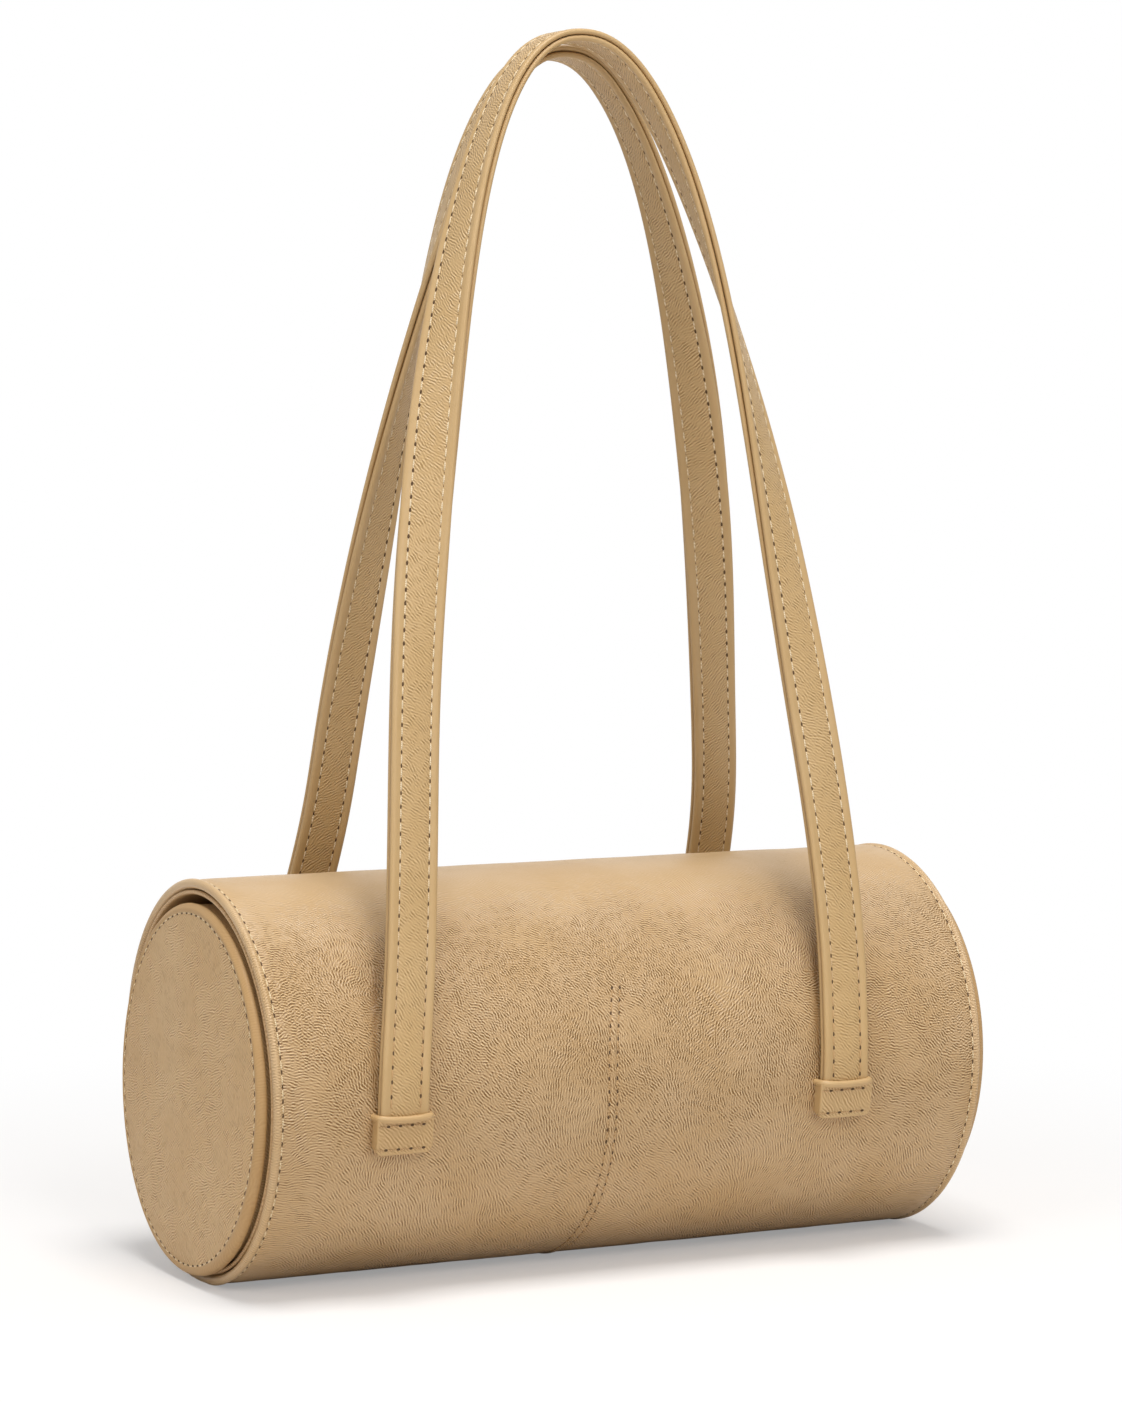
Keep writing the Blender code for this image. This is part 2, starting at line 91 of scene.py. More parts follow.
# %% Camera
CAMERA_PLACE = (-0.7105, -1.4353, 0.3064)
CAMERA_TURN = -26.461
CAMERA_TILT = -3.642
CAMERA_ROLL = -0.148
CAMERA_LENS = 110.96

bpy.ops.object.camera_add(location=CAMERA_PLACE)
camera = bpy.context.object
camera.data.sensor_width = 36
camera.data.lens = CAMERA_LENS
camera.rotation_euler = (
    Matrix.Rotation(math.radians(CAMERA_TURN), 3, "Z")
    @ Matrix.Rotation(math.radians(90 + CAMERA_TILT), 3, "X")
    @ Matrix.Rotation(math.radians(CAMERA_ROLL), 3, "Z")
).to_euler()
bpy.context.scene.camera = camera
bpy.context.scene.view_settings.view_transform = "Standard"
print("camera at", [round(v, 3) for v in camera.location], "lens", camera.data.lens)

# %% [markdown]
# ## Nodes and colours
# Every finish is a small tree of shader nodes. One helper adds a node, sets its options and fills
# or links its sockets, so that a tree reads from top to bottom like a recipe. A few shorter ones
# stand for the nodes that come back in every recipe. Colours are written the way that a picture
# shows them, as sRGB hex values, and one function turns them into the linear values of the
# renderer.

# %% Helper: colour
def to_linear(hex_code):
    """An sRGB hex colour as the linear colour that a shader takes."""
    channels = [int(hex_code[i : i + 2], 16) / 255 for i in (1, 3, 5)]
    return (*[c / 12.92 if c <= 0.04045 else ((c + 0.055) / 1.055) ** 2.4 for c in channels], 1.0)

# %% Helper: node
def add(tree, kind, sockets=None, **options):
    """Adds a node. A value in sockets fills that input; a node or its output is linked to it."""
    node = tree.nodes.new("ShaderNode" + kind)
    for option, value in options.items():
        setattr(node, option, value)
    for socket, value in (sockets or {}).items():
        if isinstance(value, bpy.types.Node):
            value = value.outputs[0]
        if isinstance(value, bpy.types.NodeSocket):
            tree.links.new(value, node.inputs[socket])
        else:
            node.inputs[socket].default_value = value
    return node

# %% Helpers: nodes that come back
def calc(tree, operation, *values, **options):
    """A sum with one, two or three values."""
    return add(tree, "Math", dict(enumerate(values)), operation=operation, **options).outputs[0]

def remap(tree, value, start, end, low=0.0, high=1.0, **options):
    """Stretches what lies from start to end over low to high."""
    return add(tree, "MapRange", {"Value": value, "From Min": start, "From Max": end,
                                  "To Min": low, "To Max": high}, **options).outputs[0]

SOFTLY = {"interpolation_type": "SMOOTHSTEP"}

def mix(tree, share, first, second):
    """The first value where the share is 0, and the second where it is 1."""
    return add(tree, "Mix", {0: share, 2: first, 3: second}).outputs[0]

def mix_colours(tree, share, first, second):
    """The same for two colours, each a hex value or another node's output."""
    first, second = (to_linear(c) if isinstance(c, str) else c for c in (first, second))
    return add(tree, "Mix", {0: share, 6: first, 7: second}, data_type="RGBA").outputs[2]

def cloud(tree, flat, scale, detail, roughness=0.5):
    """Soft noise."""
    return add(tree, "TexNoise", {"Vector": flat, "Scale": scale, "Detail": detail,
                                  "Roughness": roughness}).outputs["Fac"]

def mark(tree, name):
    """What the mesh notes on its points under a name."""
    return add(tree, "Attribute", attribute_name=name).outputs["Fac"]

# %% Helpers: start and end of a finish
def new_finish(name, roughness, metallic=0.0, ior=1.5):
    """An empty finish, its tree and its shader. What is the same all over is set on the shader."""
    finish = bpy.data.materials.new(name)
    finish.use_nodes = True
    shader = finish.node_tree.nodes["Principled BSDF"]
    shader.inputs["Roughness"].default_value = roughness
    shader.inputs["Metallic"].default_value = metallic
    shader.inputs["IOR"].default_value = ior
    return finish, finish.node_tree, shader

def end_finish(tree, shader, colour, height=None, strength=0.5, depth=0.1):
    """Links the colour, and any relief as a bump of a depth in millimetres."""
    tree.links.new(colour, shader.inputs["Base Color"])
    if height is not None:
        bump = add(tree, "Bump", {"Strength": strength, "Distance": depth * MM, "Height": height})
        tree.links.new(bump.outputs[0], shader.inputs["Normal"])
    print("a finish of", len(tree.nodes), "nodes")

# %% [markdown]
# ## Room, floor and light
# The bag stands on plain white paper. Only the camera sees the backdrop as pure white, and glossy
# rays see it a little dimmer, so that the leather's satin shows it. The light that falls on the
# bag comes from a large soft lamp overhead, a smaller one at the front, one from the left and a
# dim sky that is brighter towards the top. The floor mixes its lit colour, which carries the
# shadow, with plain white further away, so that no horizon shows.

# %% Sky
WHITE = (1, 1, 1, 1)
world = bpy.data.worlds.new("white room")
bpy.context.scene.world = world
world.use_nodes = True
sky = world.node_tree
sky.nodes.clear()
rays = add(sky, "LightPath")
way = add(sky, "SeparateXYZ", {0: add(sky, "TexCoord").outputs["Generated"]})
upward = remap(sky, way.outputs["Z"], 0.0, 0.9, 0.30, 0.46)
dim = add(sky, "Background", {"Color": to_linear("#F4F6FA"), "Strength": upward})
sheen = add(sky, "Background", {"Color": WHITE, "Strength": 0.85})
white = add(sky, "Background", {"Color": WHITE, "Strength": 1.0})
both = add(sky, "MixShader", {0: rays.outputs["Is Glossy Ray"], 1: dim, 2: sheen})
both = add(sky, "MixShader", {0: rays.outputs["Is Camera Ray"], 1: both, 2: white})
add(sky, "OutputWorld", {"Surface": both})

# %% Lamps
def soft_lamp(name, place, aim, size, power):
    """A square soft lamp that looks at a point."""
    bpy.ops.object.light_add(type="AREA", location=place)
    lamp = bpy.context.object
    lamp.name = name
    lamp.data.shape = "SQUARE"
    lamp.data.size = size
    lamp.data.energy = power
    lamp.rotation_euler = (Vector(aim) - Vector(place)).to_track_quat("-Z", "Y").to_euler()

soft_lamp("overhead", (-0.07, -0.63, 2.62), (0, 0, 0.1), 1.26, 57)
soft_lamp("front", (-0.15, -2.4, 1.5), (0, 0, 0.15), 0.8, 17)
soft_lamp("left", (-2.2, -0.9, 1.3), (0, 0, 0.1), 1.2, 11)

# %% Floor
SHADOW_FROM, SHADOW_TO = 0.20, 0.55
bpy.ops.mesh.primitive_grid_add(x_subdivisions=2, y_subdivisions=2, size=8, location=(0, 0, 0))
floor = bpy.context.object
floor.name = "floor"
paper = bpy.data.materials.new("white paper floor")
paper.use_nodes = True
tree = paper.node_tree
tree.nodes.clear()
rays = add(tree, "LightPath")
reach = add(tree, "VectorMath", {0: add(tree, "TexCoord").outputs["Object"]}, operation="LENGTH")
far = remap(tree, reach.outputs["Value"], SHADOW_FROM, SHADOW_TO, 0.30, 1.0, **SOFTLY)
share = calc(tree, "MULTIPLY", rays.outputs["Is Camera Ray"], far)
lit = add(tree, "BsdfDiffuse", {"Color": to_linear("#EAE7E4")})
glow = add(tree, "Emission", {"Color": WHITE, "Strength": 1.0})
add(tree, "OutputMaterial", {"Surface": add(tree, "MixShader", {0: share, 1: lit, 2: glow})})
floor.data.materials.append(paper)
floor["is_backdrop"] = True
print("floor reaches", floor.dimensions[0], "m")

# %% [markdown]
# ## Grained leather
# The barrel is vegetable-tanned calf with an embossed, then milled grain: fine ridges about 1 mm
# apart that swirl like a fingerprint, and cross-hatch into pebbles where the hide was worked
# harder. Under soft light that gives many small satin glints and thin brown grooves. A wave
# texture would look like corduroy, and plain noise like sand. A Gabor texture is made of many
# short bursts of parallel bands, whose angle and order can change from place to place, as they do
# on a hide. It is drawn in millimetres on each piece's own flat cut, so that it wraps round with
# the leather.

# %% Milled grain
BANDS_IN_BURST = 2.8

def milled_grain(tree, flat, pitch, lay, order, swing, patch):
    """Short ridges of a milled hide, 0 in the grooves and 1 on top, for a flat place.

    They lie a pitch apart at the angle lay, in degrees, which swings by up to swing degrees from
    patch to patch. An order of 1 keeps them parallel, and 0 lets them break up into pebbles."""
    turn = remap(tree, cloud(tree, flat, 1 / patch, 2.5, 0.55), 0.28, 0.72,
                 math.radians(90 - swing), math.radians(90 + swing), clamp=False)
    if not isinstance(lay, bpy.types.NodeSocket):
        lay = math.radians(lay)
    wobble = add(tree, "TexNoise", {"Vector": flat, "Scale": 0.5 / pitch, "Detail": 1.0})
    wobble = add(tree, "VectorMath", {0: wobble.outputs["Color"], "Scale": 0.6 * pitch},
                 operation="SCALE")
    pushed = add(tree, "VectorMath", {0: flat, 1: wobble}, operation="ADD")
    bands = add(tree, "TexGabor", {
        "Vector": pushed, "Scale": 1 / (BANDS_IN_BURST * pitch), "Frequency": BANDS_IN_BURST,
        "Anisotropy": order, "Orientation": calc(tree, "ADD", lay, turn)}, gabor_type="2D")
    return remap(tree, bands.outputs["Value"], 0.27, 0.73)

# %% Places in millimetres
def cut_places(tree):
    """Where a point lies on the piece's own flat cut."""
    return add(tree, "UVMap", uv_map="cut_mm").outputs["UV"]

def solid_places(tree, order="YZX"):
    """Where a point lies in space. A flat pattern is seen along the last axis of the order."""
    parts = add(tree, "SeparateXYZ", {0: add(tree, "TexCoord").outputs["Object"]})
    sorted_parts = add(tree, "CombineXYZ", {k: parts.outputs[axis] for k, axis in enumerate(order)})
    return add(tree, "VectorMath", {0: sorted_parts, "Scale": 1 / MM}, operation="SCALE").outputs[0]

# %% Colour of leather from its relief, with painted light
def leather_colour_and_painted_light(tree, flat, height, groove, ridge, pale, low=0.15, high=0.85):
    """Painted shade in the grooves, painted glints on the ridges, and soft cloudy patches where the
    dye took unevenly.
    """
    patch = remap(tree, cloud(tree, flat, 1 / 38, 3.0, 0.55), 0.36, 0.66)
    top = mix_colours(tree, patch, ridge, pale)
    return mix_colours(tree, remap(tree, height, low, high), groove, top)

# %% Body leather
GRAIN_PITCH = 1.02
CUT_MIDDLE = 227.8  # the line of the flat cut that lies on top of the barrel
body_finish, tree, shader = new_finish("milled calf leather, grained", 0.38, ior=1.42)
flat = cut_places(tree)
parts = add(tree, "SeparateXYZ", {0: flat})
# The hide was worked hardest halfway up the front and the back. There the ridges are pebbled.
from_top = calc(tree, "ABSOLUTE", calc(tree, "SUBTRACT", parts.outputs["Y"], CUT_MIDDLE))
rising = remap(tree, from_top, 20.0, 62.0, **SOFTLY)
falling = remap(tree, from_top, 165.0, 92.0, **SOFTLY)
uneven = remap(tree, cloud(tree, flat, 1 / 24, 2.0), 0.35, 0.62, 0.3, 1.0)
pebbled = calc(tree, "MULTIPLY", calc(tree, "MULTIPLY", rising, falling), uneven)
order = remap(tree, pebbled, 0, 1, 0.95, 0.5)
height = milled_grain(tree, flat, GRAIN_PITCH, mark(tree, "lay"), order, 38, 30)
# The rolled rims, past the stitches, were stretched smooth.
wall = remap(tree, calc(tree, "ABSOLUTE", parts.outputs["X"]), 140.2, 138.6, 0.45, 1.0)
calm = remap(tree, rising, 0, 1, 0.30, 0.66)
strength = calc(tree, "MULTIPLY_ADD", pebbled, 0.50, calm)
strength = calc(tree, "MAXIMUM", strength, mark(tree, "creased"))
strength = calc(tree, "MULTIPLY", strength, wall, use_clamp=True)
# The colour follows the relief where it is strong, so the painted shade in the grooves and the
# painted glints on the ridges are strongest in the pebbled band.
seen_height = mix(tree, strength, 0.72, height)
colour = leather_colour_and_painted_light(tree, flat, seen_height, "#7F5A2B", "#D6B586", "#DEC096", 0.14, 0.94)
# Painted shade: beside the straps and keepers, where their shadow falls, the leather is darkened.
colour = mix_colours(tree, mark(tree, "rubbed"), colour, "#7A5526")
end_finish(tree, shader, colour, height, strength, 0.38)

# %% [markdown]
# The round panels are cut from a duller, softer part of the hide, with shorter wrinkles that whorl
# more and stand up less. Past the stitches, 63 mm from the centre, their rolled edge is smooth.

# %% Panel leather
panel_finish, tree, shader = new_finish("milled calf leather, dull panels", 0.52, ior=1.42)
flat = solid_places(tree)
plain = milled_grain(tree, flat, 1.0, -48, 0.9, 62, 17)
inside = remap(tree, mark(tree, "from_centre_mm"), 64.0, 62.8, 0.12, 0.85)
seen_height = mix(tree, inside, 0.20, plain)
# Grooves painted darker and ridges paler, as painted shade and glints.
colour = leather_colour_and_painted_light(tree, flat, seen_height, "#9C7643", "#DAB685", "#E0C092", 0.0, 0.9)
end_finish(tree, shader, colour, plain, inside, 0.32)

# %% [markdown]
# The straps are smoother calf. Between the stitch rows a fine diagonal grain shows, about 1 mm
# apart; their rolled edges are burnished smooth, and the cut edges in the groove between the two
# leathers are inked brown. Two attributes on the mesh say which is which: the distance from the
# strap's middle in millimetres, and how deep in the groove a point lies.

# %% Strap leather
STITCH_ROW = 5.6
strap_finish, tree, shader = new_finish("smooth calf leather, strap", 0.45)
flat = cut_places(tree)
grain = milled_grain(tree, flat, 1.05, 52, 0.8, 22, 22)
inward = calc(tree, "ABSOLUTE", mark(tree, "across_mm"))
middle = remap(tree, inward, STITCH_ROW + 0.5, STITCH_ROW - 0.4, **SOFTLY)
strength = remap(tree, middle, 0, 1, 0.12, 1.0)
seen_height = mix(tree, middle, 0.5, grain)
# Grooves painted darker and ridges paler, as painted shade and glints.
colour = leather_colour_and_painted_light(tree, flat, seen_height, "#9B7A47", "#CBAA79", "#D1B284", 0.0, 1.0)
colour = mix_colours(tree, mark(tree, "grooved"), colour, "#A68150")
end_finish(tree, shader, colour, grain, strength, 0.22)

# %% Trim leather, for lips, side bands, hinge and patches
trim_finish, tree, shader = new_finish("smooth calf leather, trim", 0.46)
flat = cut_places(tree)
plain = milled_grain(tree, flat, 1.1, -45, 0.8, 40, 15)
# Grooves painted darker and ridges paler, as painted shade and glints.
colour = leather_colour_and_painted_light(tree, flat, plain, "#AB8657", "#C6A273", "#CEAC7F")
end_finish(tree, shader, colour, plain, 0.3, 0.18)

# %% Keeper leather
keeper_finish, tree, shader = new_finish("smooth calf leather, keepers", 0.44)
flat = solid_places(tree, "XZY")
plain = milled_grain(tree, flat, 1.1, -46, 0.92, 22, 12)
rolled = mark(tree, "rolled")
strength = remap(tree, rolled, 0, 1, 0.6, 0.05)
seen_height = mix(tree, rolled, plain, 0.56)
# Grooves painted darker and ridges paler, as painted shade and glints.
colour = leather_colour_and_painted_light(tree, flat, seen_height, "#A07D4A", "#C8A676", "#CDAE7F")
end_finish(tree, shader, colour, plain, strength, 0.15)

# %% [markdown]
# ## Cloth, board, cord and steel
# The lining is plain-woven cotton. Its threads are about 0.5 mm apart; they are drawn at 0.7 mm, a
# little coarser than real, so that the weave shows. Behind the leather are grey-brown
# leather-fibre board and filler, a twisted cotton cord in each rim, and two nickel-plated magnets.

# %% Woven lining
THREAD_PITCH = 0.7
WAVE_SCALE = 0.314  # a wave texture's scale for bands 1 mm apart
lining_finish, tree, shader = new_finish("plain woven cotton", 0.85)
flat = cut_places(tree)
warp, weft = (add(tree, "TexWave", {"Vector": flat, "Scale": WAVE_SCALE / THREAD_PITCH},
                  bands_direction=way).outputs["Fac"] for way in "XY")
check = add(tree, "TexChecker", {"Vector": flat, "Scale": 1 / THREAD_PITCH})
weave = mix(tree, check.outputs["Fac"], warp, weft)
end_finish(tree, shader, mix_colours(tree, weave, "#8F7450", "#BDA27B"), weave, 0.6, 0.15)

# %% Two-toned finishes
def flecks(scale, detail):
    """Flecks or haze, as a pattern."""
    return lambda tree, flat: cloud(tree, flat, scale, detail)

def strands(pitch):
    """Slanted strands a pitch apart, in millimetres, as a pattern."""
    return lambda tree, flat: add(tree, "TexWave", {
        "Vector": flat, "Scale": WAVE_SCALE / pitch, "Distortion": 0.6},
        bands_direction="DIAGONAL").outputs["Fac"]

def two_toned(name, roughness, dark, pale, pattern, raised=True, metallic=0.0):
    """A finish from dark to pale over a pattern, which also stands up a little if it is raised."""
    finish, tree, shader = new_finish(name, roughness, metallic)
    height = pattern(tree, solid_places(tree))
    end_finish(tree, shader, mix_colours(tree, height, dark, pale), height if raised else None)
    return finish

board_finish = two_toned("leather-fibre board", 0.9, "#6E604B", "#A39274", flecks(1.1, 4.0))
filler_finish = two_toned("leather-fibre strip", 0.9, "#83735A", "#B3A184", flecks(1.1, 4.0))
cord_finish = two_toned("twisted cotton cord", 0.78, "#B9B09C", "#DDD6C6", strands(0.9))
thread_finish = two_toned("waxed linen thread", 0.78, "#BFA276", "#E6D4B0", strands(0.45))
strap_thread_finish = two_toned("waxed linen thread, darker towards the bottom", 0.78, "#C4AC84", "#E6D6B8",
                                strands(0.45))
sunk_thread_finish = two_toned("waxed linen thread, sunk and stained", 0.78, "#9F7C4E", "#C3A074",
                               strands(0.45))
steel_finish = two_toned("nickel-plated steel", 0.32, "#84868A", "#A6A8AA", flecks(0.6, 3.0),
                         raised=False, metallic=1.0)
# A needle hole is a dark disc of painted shade, for the shadow inside the hole.
hole_shade_finish = two_toned("painted shade in a needle hole", 0.8, "#3E2A14", "#5E4324", flecks(2.0, 1.0),
                        raised=False)

# %% Thread darker towards the bottom
# Low down the thread has the leather's colour, and from 90 to 160 mm up it turns cream.
tree = strap_thread_finish.node_tree
shader = tree.nodes["Principled BSDF"]
cream_colour = shader.inputs["Base Color"].links[0].from_socket
parts = add(tree, "SeparateXYZ", {0: add(tree, "TexCoord").outputs["Object"]})
higher_share = remap(tree, parts.outputs["Z"], 0.09, 0.16)
end_finish(tree, shader, mix_colours(tree, higher_share, "#B79365", cream_colour))

# %% [markdown]
# ## Workbench
# A few helpers stand for what the hands do again and again: pick pieces, open one in edit mode,
# choose parts of it by where they are, cut a flat sheet and wrap it, turn an outline round the
# barrel's axis, and hand a finished piece over to the body that carries it.

# %% Helpers: selection and edit mode
def pick(*pieces):
    """Selects these pieces and no others, with the last one active."""
    bpy.ops.object.select_all(action="DESELECT")
    for piece in pieces:
        piece.select_set(True)
        bpy.context.view_layer.objects.active = piece

def new_piece(name):
    """The piece that an operator has just made, named."""
    piece = bpy.context.object
    piece.name = piece.data.name = name
    return piece

def open_piece(piece):
    """Opens a piece in edit mode with nothing in it selected."""
    pick(piece)
    bpy.ops.object.mode_set(mode="EDIT")
    bpy.ops.mesh.select_all(action="DESELECT")

def choose(piece, kind, test):
    """Selects the vertices, edges or faces whose middle passes the test, in edit mode."""
    bpy.ops.mesh.select_mode(type=kind)
    bpy.ops.mesh.select_all(action="DESELECT")
    mesh = bmesh.from_edit_mesh(piece.data)
    for part in {"EDGE": mesh.edges, "FACE": mesh.faces}[kind]:
        middle = sum((v.co for v in part.verts), Vector()) / len(part.verts)
        if test(middle, part.normal) if kind == "FACE" else test(middle):
            part.select_set(True)
    mesh.select_flush_mode()
    bmesh.update_edit_mesh(piece.data)

def close_piece(piece, angle=40):
    """Merges what meets, turns the faces outwards, and leaves edit mode with smooth shading."""
    bpy.ops.mesh.select_mode(type="VERT")
    bpy.ops.mesh.select_all(action="SELECT")
    bpy.ops.mesh.remove_doubles(threshold=0.002 * MM)
    bpy.ops.mesh.normals_make_consistent(inside=False)
    bpy.ops.object.mode_set(mode="OBJECT")
    bpy.ops.object.shade_smooth_by_angle(angle=math.radians(angle))

def clean_up(piece, angle=40):
    """Opens a piece only to close it, merged and smooth."""
    open_piece(piece)
    close_piece(piece, angle)

def apply(piece, kind, **settings):
    """Adds a modifier and applies it at once."""
    modifier = piece.modifiers.new(kind.lower(), kind)
    for setting, value in settings.items():
        setattr(modifier, setting, value)
    bpy.context.view_layer.objects.active = piece
    bpy.ops.object.modifier_apply(modifier=modifier.name)

def note(piece, name, values):
    """Notes a value on each point of a piece, for its finish to read."""
    piece.data.attributes.new(name, "FLOAT", "POINT").data.foreach_set("value", values)

# %% Helper: a flat sheet, wrapped
def cut_and_wrap(name, places, long_mm, wide_mm, **marks):
    """Cuts a flat sheet of squares and carries each of its points to its place.

    places has one point for each step along and across. The piece keeps a flat map of itself in
    millimetres, on which the grain is drawn. Each mark is an attribute: a value for each point."""
    steps_long, steps_wide = places.shape[0] - 1, places.shape[1] - 1
    pick()
    bpy.ops.mesh.primitive_grid_add(x_subdivisions=steps_long, y_subdivisions=steps_wide, size=1)
    piece = new_piece(name)
    mesh = piece.data
    flat = np.empty(3 * len(mesh.vertices))
    mesh.vertices.foreach_get("co", flat)
    i = np.rint((flat[0::3] + 0.5) * steps_long).astype(int)
    j = np.rint((flat[1::3] + 0.5) * steps_wide).astype(int)
    mesh.vertices.foreach_set("co", places[i, j].ravel() * MM)
    corner = np.empty(len(mesh.loops), int)
    mesh.loops.foreach_get("vertex_index", corner)
    mesh.uv_layers[0].name = "cut_mm"
    spots = np.stack([np.asarray(long_mm)[i[corner]], np.asarray(wide_mm)[j[corner]]], 1)
    mesh.uv_layers[0].data.foreach_set("uv", spots.ravel())
    for attribute, values in marks.items():
        note(piece, attribute, np.broadcast_to(values, places.shape[:2])[i, j])
    return piece

# %% Helpers: round the barrel's axis
TUBE_RADIUS, HALF_LENGTH, AXIS_HEIGHT = 72.5, 142.2, 72.0
ROUND_STEPS = 144
MAP_RADIUS = 68

def round_axis(x, radius, turn, centre=AXIS_HEIGHT):
    """Points at x and a radius, at a turn in radians that counts up from the front."""
    y, z = -radius * np.cos(turn), centre + radius * np.sin(turn)
    return np.stack(np.broadcast_arrays(x, y, z), -1)

def turned(name, outline, centre=AXIS_HEIGHT):
    """A closed outline of (x, radius) points, spun all the way round a line along X."""
    pick()
    bpy.ops.mesh.primitive_circle_add(vertices=len(outline), radius=0.01)
    piece = new_piece(name)
    for vertex, (x, radius) in zip(piece.data.vertices, outline):
        vertex.co = (x * MM, 0, (centre + radius) * MM)
    open_piece(piece)
    bpy.ops.mesh.select_all(action="SELECT")
    bpy.ops.mesh.spin(steps=ROUND_STEPS, angle=math.tau, center=(0, 0, centre * MM), axis=(1, 0, 0))
    close_piece(piece)
    return piece

def mapped(piece, centre=AXIS_HEIGHT):
    """Gives a turned piece a flat map in millimetres: along the barrel and round it."""
    mesh = piece.data
    while mesh.uv_layers:
        mesh.uv_layers.remove(mesh.uv_layers[0])
    flat_map = mesh.uv_layers.new(name="cut_mm")
    for face in mesh.polygons:
        here = math.atan2(face.center.z - centre * MM, -face.center.y)
        for loop in face.loop_indices:
            x, y, z = mesh.vertices[mesh.loops[loop].vertex_index].co
            radius = math.hypot(y, z - centre * MM)
            turn = here + math.remainder(math.atan2(z - centre * MM, -y) - here, math.tau)
            flat_map.data[loop].uv = ((x - radius) / MM, turn * MAP_RADIUS)
    return piece

# %% Helper: hand a piece over
def hand_over(piece, slot, finishes, stands_for=(), body="barrel", fold=None):
    """Gives a piece its finish and its body, and hides the CAD nodes that it stands for. Its slot is
    not used.

    With a fold, its place is baked into its mesh instead, and it gets no body; the fold's two points
    are not used."""
    piece.data.materials.clear()
    for finish in finishes:
        piece.data.materials.append(finish)
    if fold:
        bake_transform(piece)
    else:
        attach(piece, body)
    if stands_for:
        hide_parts(*stands_for)
    faces = sum(len(face.vertices) - 2 for face in piece.data.polygons)
    print(f"{piece.name}: {faces} triangles, stands for {', '.join(stands_for) or 'nothing'}")

# %% Helpers: lengths and soft steps
def so_far(points):
    """The length of a path up to each of its points."""
    return np.concatenate([[0], np.cumsum(np.linalg.norm(np.diff(points, axis=0), axis=1))])

def part_way(spots, length, points):
    """The points of a path at some lengths along it."""
    return np.stack([np.interp(spots, length, column) for column in points.T], 1)

def bell(distance, width):
    """1 at no distance, and almost 0 past twice the width."""
    return np.exp(-((distance / width) ** 2))

def ramp(value, start, end):
    """0 up to the start, 1 from the end on, and a straight slope in between."""
    return np.clip((value - start) / (end - start), 0, 1)

def ease(share):
    """Makes a slope from 0 to 1 start and end softly."""
    return share * share * (3 - 2 * share)

# %% [markdown]
# ## The barrel's leather
# The barrel is one rectangle of leather, wrapped round and joined underneath. At each end it rolls
# over a cord, which makes the round bead, and turns in as a hem. It could be a cylinder with a
# bevel, but its flat map would then be torn at the rims. So a flat sheet is cut with one row of
# points for each step of the outline, outer wall, bead, hem and inner wall, and wrapped round. The
# steps lie closer together along the belly seam, which needs them for its raised ridge.

# %% Outline of a rim
# Distance past the barrel's end and radius: groove, bead, hem and cord pocket
RIM_OUTLINE = [
    (-8.0, 72.50), (-6.2, 72.46), (-4.8, 72.34), (-4.0, 72.16), (-3.45, 71.98), (-3.0, 71.92),
    (-2.65, 72.05), (-2.3, 72.36), (-1.9, 72.68), (-1.4, 72.86), (-0.9, 72.80), (-0.45, 72.50),
    (-0.1, 72.00), (0.08, 71.35), (0.10, 70.70), (-0.1, 70.05), (-0.6, 69.60), (-1.3, 69.36),
    (-2.1, 69.00), (-2.7, 68.45), (-3.6, 68.32), (-5.2, 68.32), (-5.2, 69.25), (-2.6, 69.50),
    (-1.3, 69.90), (-0.9, 70.60), (-1.0, 71.20), (-1.6, 71.55), (-3.4, 71.30), (-5.2, 71.05),
    (-7.0, 70.72),
]
ROUND_THE_POCKET = 6  # points of a rim's outline that keep clear of the outer wall's slack
BARREL_ROWS = 224
INNER_STEPS = 7
SEAM_TOP = 30.0

# %% Steps along the barrel
def outline_of_barrel():
    """The closed outline as x and radius, from the left rim over the outside and back inside."""
    rim = np.array(RIM_OUTLINE)
    wall_end, hem_end = HALF_LENGTH - 8.0, HALF_LENGTH - 7.0
    wall = np.concatenate([np.linspace(-wall_end, -17.0, 88)[1:-1], np.linspace(-17.0, 0.0, 36),
                           np.linspace(0.0, wall_end, 100)[1:-1]])
    inner = np.linspace(hem_end, -hem_end, INNER_STEPS + 1)[1:]
    return np.concatenate([
        np.stack([-(HALF_LENGTH + rim[::-1, 0]), rim[::-1, 1]], 1),
        np.stack([wall, np.full(len(wall), TUBE_RADIUS)], 1),
        np.stack([HALF_LENGTH + rim[:, 0], rim[:, 1]], 1),
        np.stack([inner, np.full(len(inner), 70.7)], 1)])

outline = outline_of_barrel()
along_mm = so_far(outline)
ON_THE_WALL = 60  # a step of the outline from which the flat cut is measured
along_mm += outline[ON_THE_WALL, 0] - along_mm[ON_THE_WALL]
print("steps along the outline:", len(outline), "path", round(float(np.ptp(along_mm))), "mm")

# %% [markdown]
# Real leather isn't a perfect tube. It is a little slack between its board and its seams, it dips
# where the straps lean on it, and a ridge runs down the belly seam between two rows of holes. Each
# of these is a small change of radius at a place (x, angle), with the angle counted up from the
# front.

# %% Where the seam and the straps run
SIDES = {"front": -1, "back": 1}
HANDS = {"left": -1, "right": 1}
FOOT_X = {"front": -6.6, "back": 8.0}
FOOT_SPREAD = 88.5
STRAP_HALF = 9.25

def seam_x(angle):
    """The belly seam's place along the barrel, at an angle up from the front, in degrees."""
    height = np.sin(np.radians(angle))
    return -11.6 - 1.2 * np.minimum(height, 0) + 6.2 * ramp(height, 0, 0.5) ** 2

